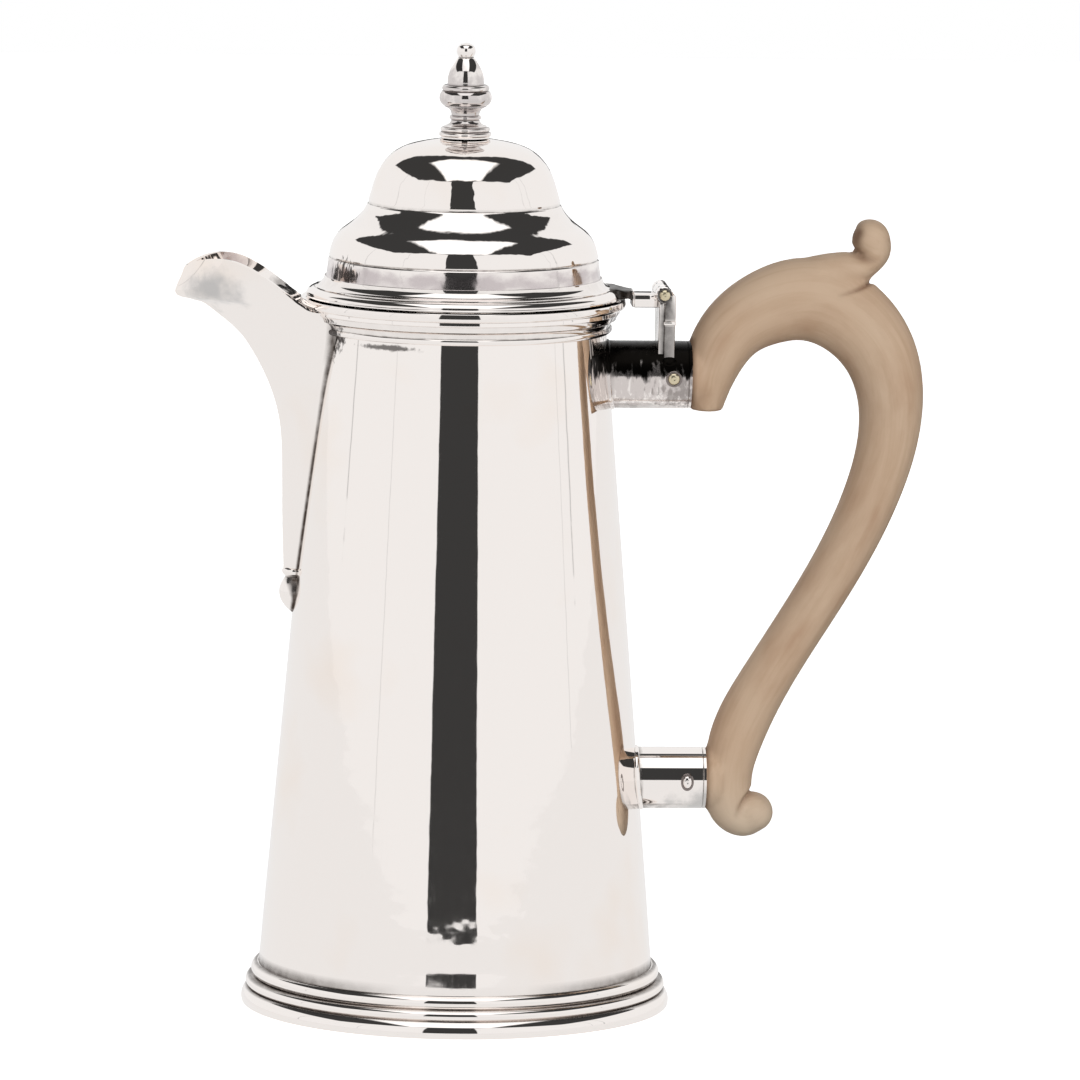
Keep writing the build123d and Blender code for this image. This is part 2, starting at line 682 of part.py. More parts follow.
UPPER_GRIP = [                      # from the open end of the upper socket
    GripStation(4.1, -8.7, 4.1, 6.2),
    GripStation(5.0, 1.2, 7.0, 8.4),
    GripStation(10.6, 11.6, 8.3, 8.6),
    GripStation(19.8, 17.6, 9.8, 8.4),
    GripStation(29.4, 19.4, 10.6, 8.2),
    GripStation(40.4, 15.0, 10.4, 8.0),
    GripStation(48.2, 5.3, 9.4, 7.9),
    GripStation(51.1, -8.0, 8.2, 7.8),
    GripStation(47.7, -27.2, 7.2, 7.6),
]
LOWER_GRIP = [                      # from the open end of the lower socket
    GripStation(29.3, 48.7, 6.5, 7.2),
    GripStation(14.3, 24.0, 6.5, 6.9),
    GripStation(7.4, 8.4, 6.4, 6.7),
    GripStation(5.8, -4.0, 5.8, 6.2),
]
EAR_NECK = [                        # from the centre of the ear's knob
    GripStation(-11.5, -10.2, 6.0, 6.6),
    GripStation(-2.3, -6.2, 4.8, 5.4),
    GripStation(0.4, -0.8, 4.9, 4.6),
]
GRIP_START, GRIP_END = (0, 0, 1), (0, 0, -1)        # directions of the centre lines at their ends
EAR_START, EAR_END = (4, 0, 1), (0, 0, 1)
EAR_CENTRE = (45.0, 34.8)           # from the open end of the upper socket
VOLUTE_CENTRE = (10.8, -8.5)        # from the open end of the lower socket
HEEL_CENTRE = (6.7, -7.7)


def carve(placed_stations, start, end):
    """Loft the oval sections along a smooth centre line in the middle plane."""
    centres = [(x + station.dx, 0, z + station.dz) for station, x, z in placed_stations]
    line = Spline(*centres, tangents=[start, end])
    sections = []
    for (station, _, _), centre in zip(placed_stations, centres):
        along = line.tangent_at(line.param_at_point(centre))
        plane = Plane(origin=centre, x_dir=(-along.Z, 0, along.X), z_dir=along)
        sections.append(plane * Ellipse(station.thick, station.wide))
    return loft(sections)


def scroll(radius, half_width, x, z):
    """Round flat-sided end of a scroll, with its two rims rounded."""
    disc = Cylinder(radius, 2 * half_width)
    disc = fillet(disc.edges().filter_by(GeomType.CIRCLE), scroll_edge_round)
    return Pos(x, 0, z) * Rot(90, 0, 0) * disc


def make_handle():
    """Carved double-scroll handle with its two tenons."""
    ear_x, ear_z = upper_socket_end + EAR_CENTRE[0], upper_socket_height + EAR_CENTRE[1]
    grip = [(station, upper_socket_end, upper_socket_height) for station in UPPER_GRIP]
    grip += [(station, lower_socket_end, lower_socket_height) for station in LOWER_GRIP]
    wood = carve(grip, GRIP_START, GRIP_END)
    wood += carve([(station, ear_x, ear_z) for station in EAR_NECK], EAR_START, EAR_END)
    wood += scroll(ear_radius, ear_half_width, ear_x, ear_z)
    for radius, (dx, dz) in ((volute_radius, VOLUTE_CENTRE), (heel_radius, HEEL_CENTRE)):
        wood += scroll(radius, volute_half_width, lower_socket_end + dx, lower_socket_height + dz)
    for height, end, diameter in ((upper_socket_height, upper_socket_end, upper_socket_diameter),
                                  (lower_socket_height, lower_socket_end, lower_socket_diameter)):
        radius = diameter / 2
        wood += rod(radius - shoulder_setback, end, end + radius * 0.55, height)
        wood -= Pos(end - diameter, 0, height) * Box(2 * diameter, 2 * diameter, 2 * diameter)
        wood += rod(radius - socket_wall - tenon_clearance, end - tenon_length, end, height)
        wood -= cross_pin(handle_pin_radius + pin_clearance, 4 * diameter,
                          end - handle_pin_inset, height)
    return wood


# ------------------------------------------------------------------ export
def handle_pin_x(end):
    """Place of the cross pin near the open end of a socket."""
    return end - handle_pin_inset


pieces = {
    "body_shell": make_body_shell(),
    "base_plate": make_base_plate(),
    "foot_moulding": make_foot_moulding(),
    "rim_moulding": make_rim_moulding(),
    "spout": make_spout(),
    "spout_drop": make_spout_drop(),
    "upper_socket": make_socket(upper_socket_diameter, upper_socket_height, upper_socket_end,
                                handle_pin_x(upper_socket_end)),
    "lower_socket": make_socket(lower_socket_diameter, lower_socket_height, lower_socket_end,
                                handle_pin_x(lower_socket_end)),
    "upper_handle_pin": make_handle_pin(upper_socket_diameter, upper_socket_height,
                                        handle_pin_x(upper_socket_end)),
    "lower_handle_pin": make_handle_pin(lower_socket_diameter, lower_socket_height,
                                        handle_pin_x(lower_socket_end)),
    "handle": make_handle(),
    "hinge_bracket": make_hinge_bracket(),
    "hinge_pin": make_hinge_pin(),
    "lid_hinge_arm": make_lid_hinge_arm(),
    "lid_flange": make_lid_flange(),
    "lid_dome": make_lid_dome(),
    "lid_bezel": make_lid_bezel(),
    "finial_collar": make_finial_collar(),
    "finial": make_finial(),
    "finial_sleeve": make_finial_sleeve(),
}

os.makedirs("parts", exist_ok=True)
for name, piece in pieces.items():
    export_step(piece, f"parts/{name}.step")
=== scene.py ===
"""Dresses the silver chocolate pot: polished silver, gilt pins and a carved boxwood handle.

Lengths inside the classes are in millimetres; a mesh is made in metres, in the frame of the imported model.
The spout points to -X, the handle to +X and the camera looks along +Y.
"""

import logging
import math
from dataclasses import dataclass
from enum import Enum
from functools import reduce
from typing import Any, Callable, Sequence

import bmesh
import bpy
from mathutils import Matrix, Vector
from mathutils.kdtree import KDTree


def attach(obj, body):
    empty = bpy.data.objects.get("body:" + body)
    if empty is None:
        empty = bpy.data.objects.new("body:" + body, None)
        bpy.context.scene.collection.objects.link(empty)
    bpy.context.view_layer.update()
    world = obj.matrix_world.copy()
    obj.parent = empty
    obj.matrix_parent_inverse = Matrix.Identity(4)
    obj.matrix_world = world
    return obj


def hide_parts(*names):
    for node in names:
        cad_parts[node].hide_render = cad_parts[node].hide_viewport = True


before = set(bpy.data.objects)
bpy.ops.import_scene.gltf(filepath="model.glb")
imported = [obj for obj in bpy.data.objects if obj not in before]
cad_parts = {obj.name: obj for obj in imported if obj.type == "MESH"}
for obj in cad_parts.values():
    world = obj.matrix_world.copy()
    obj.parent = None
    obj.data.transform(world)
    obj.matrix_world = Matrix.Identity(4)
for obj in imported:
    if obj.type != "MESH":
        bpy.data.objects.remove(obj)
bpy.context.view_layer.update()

MM = 0.001
SAME = 1e-4         # places closer than this are one, in millimetres
Point = tuple[float, float]
LOG = logging.getLogger("chocolate_pot")


class Body(Enum):
    """Moving bodies of the pot."""

    POT = "pot"
    LID = "lid"
    CAP = "stirrer_cap"


class Slot(Enum):
    """Material slots of the record."""

    SILVER = "polished_silver"
    WOOD = "boxwood"
    GILT = "gilt_brass"


# ------------------------------------------------------------------ outlines
def arc(start: Point, middle: Point, end: Point, steps: int = 10) -> list[Point]:
    """Points on the circular arc through three points.

    Args:
        start: First point of the arc.
        middle: A point that the arc passes through.
        end: Last point of the arc.
        steps: Number of chords.

    Returns:
        The points from start to end.
    """
    (ax, ay), (bx, by), (cx, cy) = start, middle, end
    d = 2 * (ax * (by - cy) + bx * (cy - ay) + cx * (ay - by))
    a2, b2, c2 = ax * ax + ay * ay, bx * bx + by * by, cx * cx + cy * cy
    ux = (a2 * (by - cy) + b2 * (cy - ay) + c2 * (ay - by)) / d
    uy = (a2 * (cx - bx) + b2 * (ax - cx) + c2 * (bx - ax)) / d
    radius = math.hypot(ax - ux, ay - uy)
    first, mid, last = (math.atan2(y - uy, x - ux) for x, y in (start, middle, end))
    turn = (last - first) % math.tau
    if (mid - first) % math.tau > turn:
        turn -= math.tau
    angles = (first + turn * step / steps for step in range(steps + 1))
    return [(ux + radius * math.cos(a), uy + radius * math.sin(a)) for a in angles]


def spline(points: Sequence[Sequence[float]], steps: int = 8) -> list[tuple[float, ...]]:
    """Natural cubic through points of any dimension, spaced by chord length.

    Args:
        points: The points that the curve passes through.
        steps: Number of chords between two neighbours.

    Returns:
        The points along the curve, its ends included.
    """
    gaps = [math.dist(a, b) for a, b in zip(points, points[1:])]
    columns = [natural_cubic(gaps, [point[axis] for point in points], steps)
               for axis in range(len(points[0]))]
    return list(zip(*columns))


def natural_cubic(gaps: Sequence[float], values: Sequence[float], steps: int) -> list[float]:
    """One coordinate of a natural cubic.

    Args:
        gaps: Distance between neighbouring knots.
        values: Value at every knot.
        steps: Number of samples in each gap.

    Returns:
        The sampled values.
    """
    count = len(values)
    lower, diagonal, upper, right = [0.0] * count, [1.0] * count, [0.0] * count, [0.0] * count
    for i in range(1, count - 1):
        lower[i], upper[i] = gaps[i - 1], gaps[i]
        diagonal[i] = 2 * (gaps[i - 1] + gaps[i])
        right[i] = 6 * ((values[i + 1] - values[i]) / gaps[i] - (values[i] - values[i - 1]) / gaps[i - 1])
    for i in range(1, count):
        share = lower[i] / diagonal[i - 1]
        diagonal[i] -= share * upper[i - 1]
        right[i] -= share * right[i - 1]
    curvature = [0.0] * count
    for i in range(count - 2, 0, -1):
        curvature[i] = (right[i] - upper[i] * curvature[i + 1]) / diagonal[i]
    samples = []
    for i, gap in enumerate(gaps):
        for step in range(steps + (i == count - 2)):
            b = step / steps
            a = 1 - b
            samples.append(a * values[i] + b * values[i + 1] + ((a ** 3 - a) * curvature[i]
                           + (b ** 3 - b) * curvature[i + 1]) * gap * gap / 6)
    return samples


def joined(*runs: Sequence[Point]) -> list[Point]:
    """Joins runs of points and drops repeated ones.

    Args:
        runs: Runs that follow each other.

    Returns:
        One run.
    """
    path: list[Point] = []
    for run in runs:
        for point in run:
            if not path or math.dist(path[-1], point) > SAME:
                path.append(tuple(point))
    return path


def ramp(value: float, knots: Sequence[Point]) -> float:
    """Straight-line value between knots, flat beyond them.

    Args:
        value: Where to read.
        knots: Pairs of place and value, rising in place.

    Returns:
        The value there.
    """
    if value <= knots[0][0]:
        return knots[0][1]
    for (x0, y0), (x1, y1) in zip(knots, knots[1:]):
        if value <= x1:
            return y0 + (y1 - y0) * (value - x0) / (x1 - x0)
    return knots[-1][1]


# ------------------------------------------------------------------ meshes
SHARP = math.radians(32)        # a bend that is sharper is an edge
FULL_GROOVE = math.radians(50)  # bend inwards at which a groove is full of tarnish
# attribute that holds tarnish in grooves, and painted shade where a piece paints it
GROOVE = "tarnish_and_shade"
GRAIN = "grain"


def tarnish_and_shade_layer(bm: bmesh.types.BMesh) -> bmesh.types.BMLayerItem:
    """Layer that says how much tarnish and painted shade each vertex holds."""
    return bm.verts.layers.float.get(GROOVE) or bm.verts.layers.float.new(GROOVE)


def mark_grooves(bm: bmesh.types.BMesh) -> None:
    """Writes how deep each vertex lies in a groove, for the tarnish.

    Args:
        bm: A mesh whose normals point outwards.
    """
    layer = tarnish_and_shade_layer(bm)
    for vert in bm.verts:
        bends = [-edge.calc_face_angle_signed() for edge in vert.link_edges if len(edge.link_faces) == 2]
        vert[layer] = max(0.0, min(1.0, max(bends, default=0.0) / FULL_GROOVE))


def soften(bm: bmesh.types.BMesh, width: float) -> None:
    """Bevels the sharp outside edges of a closed mesh by a width in millimetres."""
    edges = [e for e in bm.edges if len(e.link_faces) == 2 and e.calc_face_angle_signed() > SHARP]
    bmesh.ops.bevel(bm, geom=edges, offset=width, offset_type="OFFSET", segments=3, profile=0.5,
                    affect="EDGES", clamp_overlap=True, material=-1)


def add_part(bm: bmesh.types.BMesh, part: bmesh.types.BMesh) -> None:
    """Adds a closed part to a piece, with its faces turned outwards.

    Args:
        bm: Mesh of the piece.
        part: Mesh of the part; it is freed.
    """
    bmesh.ops.recalc_face_normals(part, faces=part.faces)
    mesh = bpy.data.meshes.new("part")
    part.to_mesh(mesh)
    part.free()
    bm.from_mesh(mesh)
    bpy.data.meshes.remove(mesh)


def block(size: Sequence[float], centre: Sequence[float], edge_round: float) -> bmesh.types.BMesh:
    """Makes a block with rounded edges.

    Args:
        size: Its sides.
        centre: Its middle.
        edge_round: Width of the bevel on its edges.

    Returns:
        The mesh, in millimetres.
    """
    bm = bmesh.new()
    bmesh.ops.create_cube(bm, size=1.0)
    bmesh.ops.transform(bm, matrix=Matrix.Translation(centre) @ Matrix.Diagonal((*size, 1)), verts=bm.verts)
    soften(bm, edge_round)
    return bm


def loft(bm: bmesh.types.BMesh, places: Sequence[Matrix], corners: int, radius: float) -> None:
    """Bridges circles that are set in a row, and caps both ends.

    Args:
        bm: Mesh that gets them.
        places: Place, turn and size of each circle.
        corners: Number of corners of a circle.
        radius: Its radius before it is placed.
    """
    rings = []
    for place in places:
        ring = bmesh.ops.create_circle(bm, segments=corners, radius=radius)["verts"]
        bmesh.ops.transform(bm, matrix=place, verts=ring)
        rings.append(list({edge for vert in ring for edge in vert.link_edges}))
    for one, two in zip(rings, rings[1:]):
        bmesh.ops.bridge_loops(bm, edges=one + two)
    for end in (rings[0], rings[-1]):
        bmesh.ops.contextual_create(bm, geom=end)


def finish_mesh(bm: bmesh.types.BMesh, name: str, edge_round: float = 0.0, recalculate: bool = True,
                grooves: Callable[[bmesh.types.BMesh], None] | None = None) -> bpy.types.Object:
    """Closes a mesh, softens its sharp edges and makes it an object.

    Args:
        bm: The mesh in millimetres; it is freed.
        name: Name of the piece.
        edge_round: Width of the bevel on outside edges, in millimetres.
        recalculate: Whether the normals are recalculated outwards.
        grooves: What marks the grooves, where it isn't mark_grooves.

    Returns:
        The new object, at the origin.
    """
    bmesh.ops.remove_doubles(bm, verts=bm.verts, dist=0.0005)
    if recalculate:
        bmesh.ops.recalc_face_normals(bm, faces=bm.faces)
    if edge_round:
        soften(bm, edge_round)
    (grooves or mark_grooves)(bm)
    for face in bm.faces:
        face.smooth = True
    for edge in bm.edges:
        edge.smooth = len(edge.link_faces) != 2 or edge.calc_face_angle(0.0) < SHARP
    bmesh.ops.scale(bm, vec=Vector((MM, MM, MM)), verts=bm.verts)
    mesh = bpy.data.meshes.new(name)
    bm.to_mesh(mesh)
    bm.free()
    piece = bpy.data.objects.new(name, mesh)
    bpy.context.scene.collection.objects.link(piece)
    return piece


def spun(outline: Sequence[Point], steps: int, closed: bool = True) -> bmesh.types.BMesh:
    """Spins a (radius, height) outline about Z.

    Args:
        outline: Points of the outline.
        steps: Number of steps round the turn.
        closed: Whether the last point joins the first.

    Returns:
        The mesh, in millimetres.
    """
    bm = bmesh.new()
    verts = [bm.verts.new((radius, 0, height)) for radius, height in outline]
    pairs = list(zip(verts, verts[1:])) + ([(verts[-1], verts[0])] if closed else [])
    edges = [bm.edges.new(pair) for pair in pairs]
    bmesh.ops.spin(bm, geom=verts + edges, cent=(0, 0, 0), axis=(0, 0, 1), dvec=(0, 0, 0),
                   angle=math.tau, steps=steps, use_merge=True, use_duplicate=False)
    on_axis = [v for v in bm.verts if math.hypot(v.co.x, v.co.y) < SAME]
    bmesh.ops.remove_doubles(bm, verts=on_axis, dist=0.001)
    return bm


def along_x(bm: bmesh.types.BMesh, height: float) -> None:
    """Lays a mesh that was spun about Z along X at a height: its Z becomes X."""
    bmesh.ops.rotate(bm, verts=bm.verts, cent=(0, 0, 0), matrix=Matrix.Rotation(math.pi / 2, 3, "Y"))
    bmesh.ops.translate(bm, verts=bm.verts, vec=(0, 0, height))


def dress(piece: bpy.types.Object, finish: bpy.types.Material, body: Body, *nodes: str,
          slot: Slot = Slot.SILVER) -> None:
    """Gives a piece its finish and its body, and hides the CAD nodes that it stands for.

    Args:
        piece: The new piece.
        finish: Its material.
        body: The body that carries it.
        nodes: CAD nodes that it replaces.
        slot: The record's slot; not used.
    """
    piece.data.materials.clear()
    piece.data.materials.append(finish)
    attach(piece, body.value)
    if nodes:
        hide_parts(*nodes)
    LOG.info("%s: %d faces on %s", piece.name, len(piece.data.polygons), body.value)


# ------------------------------------------------------------------ material nodes
Socket = bpy.types.NodeSocket
Colour = tuple[float, float, float, float]
WHITE = (1.0, 1.0, 1.0, 1.0)


def linear(code: str) -> Colour:
    """Linear colour of an sRGB hex code.

    Args:
        code: Six hex digits.

    Returns:
        Linear red, green, blue and an alpha of 1.
    """
    def channel(value: float) -> float:
        """Linear value of one sRGB channel."""
        return value / 12.92 if value <= 0.04045 else ((value + 0.055) / 1.055) ** 2.4

    red, green, blue = (channel(int(code[i:i + 2], 16) / 255) for i in (0, 2, 4))
    return red, green, blue, 1.0


class Nodes:
    """Node tree of a material or a world, with short ways to add what it needs."""

    def __init__(self, owner: bpy.types.Material | bpy.types.World) -> None:
        """Turns the owner's nodes on and clears them.

        Args:
            owner: Material or world.
        """
        owner.use_nodes = True
        self.tree = owner.node_tree
        self.tree.nodes.clear()

    def add(self, kind: str, inputs: dict[int | str, Any] | None = None, **settings: Any) -> bpy.types.Node:
        """Adds a node with its settings, and sets or links its inputs.

        Args:
            kind: Node type without its ShaderNode prefix.
            inputs: Input to a socket that feeds it, or to a plain value.
            settings: Attributes of the node.

        Returns:
            The node.
        """
        node = self.tree.nodes.new("ShaderNode" + kind)
        for key, value in settings.items():
            setattr(node, key, value)
        for key, value in (inputs or {}).items():
            if isinstance(value, Socket):
                self.tree.links.new(value, node.inputs[key])
            else:
                node.inputs[key].default_value = value
        return node

    def math(self, operation: str, *values: Socket | float) -> Socket:
        """Value of an operation on one to three values."""
        return self.add("Math", dict(enumerate(values)), operation=operation).outputs[0]

    def vector(self, operation: str, *values: Any) -> Socket:
        """Vector of an operation on vectors, or its value where it gives one number."""
        outputs = self.add("VectorMath", dict(enumerate(values)), operation=operation).outputs
        return outputs["Value" if operation in ("LENGTH", "DOT_PRODUCT") else "Vector"]

    def height(self, place: Socket) -> Socket:
        """Height of a place."""
        return self.add("SeparateXYZ", {0: place}).outputs["Z"]

    def drawn(self, place: Socket, share: float) -> Socket:
        """Coordinates whose last axis counts less, so that a noise is drawn out along it."""
        return self.add("Mapping", {"Vector": place, "Scale": (1.0, 1.0, share)}).outputs["Vector"]

    def attribute(self, name: str, output: str = "Fac") -> Socket:
        """Attribute that a mesh carries."""
        return self.add("Attribute", attribute_name=name).outputs[output]

    def noise(self, place: Socket, size: float, detail: float, roughness: float = 0.5,
              distortion: float = 0.0) -> Socket:
        """Noise with features of a size in millimetres."""
        return self.add("TexNoise", {"Vector": place, "Scale": 1.0 / (size * MM), "Detail": detail,
                                     "Roughness": roughness, "Distortion": distortion}).outputs["Fac"]

    def remap(self, value: Socket, low: float, high: float, to_low: float = 0.0, to_high: float = 1.0,
              kind: str = "LINEAR") -> Socket:
        """Takes a value from one range to another and holds it there."""
        return self.add("MapRange", {"Value": value, "From Min": low, "From Max": high, "To Min": to_low,
                                     "To Max": to_high}, interpolation_type=kind).outputs["Result"]

    def step(self, value: Socket, low: float, high: float, top: float = 1.0) -> Socket:
        """Smooth step from 0 at low to top at high."""
        return self.remap(value, low, high, 0.0, top, "SMOOTHSTEP")

    def edge(self, value: Socket, limit: float, soft: float) -> Socket:
        """Soft step at a limit: 1 above it, or 1 below it where soft is negative."""
        return self.step(value, limit - soft, limit + soft)

    def product(self, *masks: Socket) -> Socket:
        """Product of masks."""
        return reduce(lambda one, two: self.math("MULTIPLY", one, two), masks)

    def mix(self, share: Socket, first: Socket | str, second: str) -> Socket:
        """Mixes two colours; the second, and where it suits the first, is an sRGB hex code."""
        start = linear(first) if isinstance(first, str) else first
        return self.add("Mix", {0: share, 6: start, 7: linear(second)}, data_type="RGBA").outputs[2]

    def blend(self, share: Socket, first: Socket | float, second: Socket | float) -> Socket:
        """Mixes two values."""
        return self.add("Mix", {0: share, 2: first, 3: second}, data_type="FLOAT").outputs[0]

    def either(self, share: Socket | float, first: Socket, second: Socket) -> Socket:
        """Mixes two shaders."""
        return self.add("MixShader", {0: share, 1: first, 2: second}).outputs[0]

    def bump(self, height: Socket, rise: float, strength: float = 1.0,
             normal: Socket | None = None) -> Socket:
        """Presses a height into the normal; the rise is in millimetres."""
        before = {} if normal is None else {"Normal": normal}
        return self.add("Bump", {"Height": height, "Strength": strength, "Distance": rise * MM,
                                 **before}).outputs["Normal"]


@dataclass(frozen=True)
class Finish:
    """Procedural finish of a real material on object coordinates."""

    name: str

    def make(self) -> bpy.types.Material:
        """Builds the material.

        Returns:
            The material.
        """
        material = bpy.data.materials.new(self.name)
        nodes = Nodes(material)
        shader = nodes.add("BsdfPrincipled", self.lay(nodes, nodes.add("TexCoord").outputs["Object"]))
        nodes.add("OutputMaterial", {"Surface": shader.outputs["BSDF"]})
        return material

    def lay(self, nodes: Nodes, place: Socket) -> dict[str, Any]:
        """Lays the nodes of the finish, and gives the inputs of its shader."""
        raise NotImplementedError


@dataclass(frozen=True)
class PolishedSilver(Finish):
    """Sterling silver, raised with the hammer, planished and polished.

    It mirrors the room with soft, slightly wavy edges, and keeps fine hairlines, tarnish in its grooves and
    painted shade where a piece marks it.
    """

    name: str = "sterling_silver_planished"
    colour: str = "FBF5F1"
    warm: str = "FAEFE6"            # where the skin has yellowed
    warm_mm: float = 46.0
    # colour of the tarnish in grooves and of painted shade where a piece marks it
    tarnish_and_shade: str = "4A3F38"
    roughness: float = 0.018
    wave_mm: float = 28.0           # spacing of the planishing waves
    wave_height_mm: float = 0.045
    hairline_mm: float = 0.9
    hairline_depth_mm: float = 0.0004
    groove_strength: float = 0.75
    groove_gap: float = 0.3         # share of the tarnish that is left where it is broken
    groove_grain_mm: float = 2.6

    def lay(self, nodes: Nodes, place: Socket) -> dict[str, Any]:
        """Lays the yellowed skin, the tarnish and painted shade that the pieces mark, the waves and the
        hairlines.

        Args:
            nodes: The material's nodes.
            place: Object coordinates.

        Returns:
            Inputs of the shader.
        """
        yellowed = nodes.remap(nodes.noise(place, self.warm_mm, 3.0, 0.55), 0.56, 0.74)
        broken = nodes.remap(nodes.noise(place, self.groove_grain_mm, 4.0), 0.34, 0.6, self.groove_gap, 1.0)
        # tarnish in grooves, plus painted shade and painted reflection that some pieces write into the same
        # attribute
        dirt_and_shade = nodes.math("MULTIPLY", nodes.math("MULTIPLY", nodes.attribute(GROOVE), broken),
                          self.groove_strength)
        colour = nodes.mix(dirt_and_shade, nodes.mix(yellowed, self.colour, self.warm), self.tarnish_and_shade)
        waves = nodes.bump(nodes.noise(place, self.wave_mm, 2.5, 0.45), self.wave_height_mm)
        hair = nodes.noise(nodes.drawn(place, 0.14), self.hairline_mm, 6.0, 0.7)
        polish = nodes.remap(hair, 0.35, 0.75, self.roughness, self.roughness * 2.4)
        colour, rough = self.skin(nodes, place, colour, nodes.math("MULTIPLY_ADD", dirt_and_shade, 0.35, polish))
        scratched = nodes.bump(hair, self.hairline_depth_mm, normal=waves)
        return {"Base Color": colour, "Metallic": self.metal(nodes, place), "Roughness": rough,
                "Normal": self.relief(nodes, place, scratched)}

    def metal(self, nodes: Nodes, place: Socket) -> Socket | float:
        """Shows bare metal all over; a finish under a film says where it shows less."""
        return 1.0

    def skin(self, nodes: Nodes, place: Socket, colour: Socket, rough: Socket) -> tuple[Socket, Socket]:
        """Leaves the silver bare; a finish that darkens in places lays its own skin."""
        return colour, rough

    def relief(self, nodes: Nodes, place: Socket, normal: Socket) -> Socket:
        """Leaves the surface even; a finish with dents presses them here."""
        return normal


@dataclass(frozen=True)
class StainAndShadePatch:
    """Patch of colour laid on the silver, used for real stains and for painted shade and painted reflection:
    an ellipsoid that a grain breaks up, in millimetres.
    """

    centre: tuple[float, float, float]
    half: tuple[float, float, float]
    colour: str
    strength: float
    grain_mm: float = 2.0
    drawn: float = 1.0              # how far the grain is drawn out upwards
    ragged: float = 0.5             # how much of the patch the grain can open
    soft: float = 0.3               # how gently it ends


@dataclass(frozen=True)
class StainedAndShadedSilver(PolishedSilver):
    """The same silver with patches of other colour laid over it: painted shade, painted reflection and some
    greyer patches.
    """

    stains_and_shades: tuple[StainAndShadePatch, ...] = ()
    patch_rough: float = 0.12       # roughness that a full patch adds

    def skin(self, nodes: Nodes, place: Socket, colour: Socket, rough: Socket) -> tuple[Socket, Socket]:
        """Lays the patches of stain, painted shade and painted reflection over the silver.

        Args:
            nodes: The material's nodes.
            place: Object coordinates.
            colour: Colour of the bare silver.
            rough: Roughness of the bare silver.

        Returns:
            The colour and the roughness with the patches.
        """
        for stain in self.stains_and_shades:
            near = nodes.vector("SUBTRACT", place, tuple(MM * value for value in stain.centre))
            scaled = nodes.vector("DIVIDE", near, tuple(MM * value for value in stain.half))
            far = nodes.vector("LENGTH", scaled)
            grain = nodes.noise(nodes.drawn(place, 1 / stain.drawn), stain.grain_mm, 4.0)
            edge = nodes.remap(grain, 0.3, 0.7, -stain.ragged, stain.ragged)
            mask = nodes.step(nodes.math("ADD", far, edge), 1.0, 1.0 - stain.soft, stain.strength)
            colour = nodes.mix(mask, colour, stain.colour)
            rough = nodes.math("MULTIPLY_ADD", mask, self.patch_rough, rough)
        return colour, rough


@dataclass(frozen=True)
class DentedSilver(StainedAndShadedSilver):
    """The same silver on the wall, with small dents above the foot and a grey bloom inside."""

    name: str = "sterling_silver_dented"
    wave_mm: float = 16.0
    wave_height_mm: float = 0.06
    dent_mm: float = 8.0
    dent_depth_mm: float = 0.03
    low: float = 17.0               # the dents lie between these heights, in millimetres
    high: float = 44.0
    inside: str = "A9A29B"          # grey bloom inside, where no cloth reaches
    inside_rough: float = 0.5
    inside_metal: float = 0.45      # share of bare metal that the bloom leaves
    inside_depth: Point = (0.7, 0.9)    # below the outside, where the bloom starts and where it is full
    outline: tuple[Point, Point] = ((5.6, 50.5), (180.5, 35.6))     # height and radius of the outside

    def skin(self, nodes: Nodes, place: Socket, colour: Socket, rough: Socket) -> tuple[Socket, Socket]:
        """Lays the patches of painted shadow, and dulls the inside of the wall.

        Args:
            nodes: The material's nodes.
            place: Object coordinates.
            colour: Colour of the bare silver.
            rough: Roughness of the bare silver.

        Returns:
            The colour and the roughness of both sides.
        """
        colour, rough = super().skin(nodes, place, colour, rough)
        mask = self.within(nodes, place)
        return nodes.mix(mask, colour, self.inside), nodes.blend(mask, rough, self.inside_rough)

    def metal(self, nodes: Nodes, place: Socket) -> Socket | float:
        """Lets the bloom inside scatter the light, as a thin film does."""
        return nodes.remap(self.within(nodes, place), 0.0, 1.0, 1.0, self.inside_metal)

    def within(self, nodes: Nodes, place: Socket) -> Socket:
        """Tells the inside of the wall from its outside.

        Args:
            nodes: The material's nodes.
            place: Object coordinates.

        Returns:
            A mask that is 1 on the inside.
        """
        (low, low_radius), (high, high_radius) = self.outline
        radius = nodes.vector("LENGTH", nodes.vector("MULTIPLY", place, (1.0, 1.0, 0.0)))
        wall = nodes.remap(nodes.height(place), low * MM, high * MM, low_radius * MM, high_radius * MM)
        start, full = self.inside_depth
        return nodes.remap(nodes.math("SUBTRACT", wall, radius), start * MM, full * MM)

    def relief(self, nodes: Nodes, place: Socket, normal: Socket) -> Socket:
        """Presses the dents into the surface.

        Args:
            nodes: The material's nodes.
            place: Object coordinates.
            normal: Normal before the dents.

        Returns:
            The normal with the dents.
        """
        height = nodes.height(place)
        rise = nodes.step(height, (self.low - 2) * MM, (self.low + 2) * MM)
        fall = nodes.step(height, self.high * MM, (self.low + 5) * MM)
        pressed = nodes.product(rise, fall, nodes.noise(place, self.dent_mm, 2.0))
        return nodes.bump(pressed, self.dent_depth_mm, normal=normal)


@dataclass(frozen=True)
class GiltBrass(Finish):
    """Pale brass, turned and rubbed bright: a warm soft gleam with a few dull spots."""

    name: str = "brass_turned"
    colour: str = "EFE4CA"
    dull: str = "CDBF9C"
    roughness: float = 0.22
    spot_mm: float = 1.4

    def lay(self, nodes: Nodes, place: Socket) -> dict[str, Any]:
        """Lays the dull spots over the brass.

        Args:
            nodes: The material's nodes.
            place: Object coordinates.

        Returns:
            Inputs of the shader.
        """
        spot = nodes.noise(place, self.spot_mm, 4.0)
        return {"Base Color": nodes.mix(spot, self.colour, self.dull), "Metallic": 1.0,
                "Roughness": nodes.remap(spot, 0.0, 1.0, self.roughness * 0.6, self.roughness * 1.6),
                "Normal": nodes.bump(spot, 0.02)}


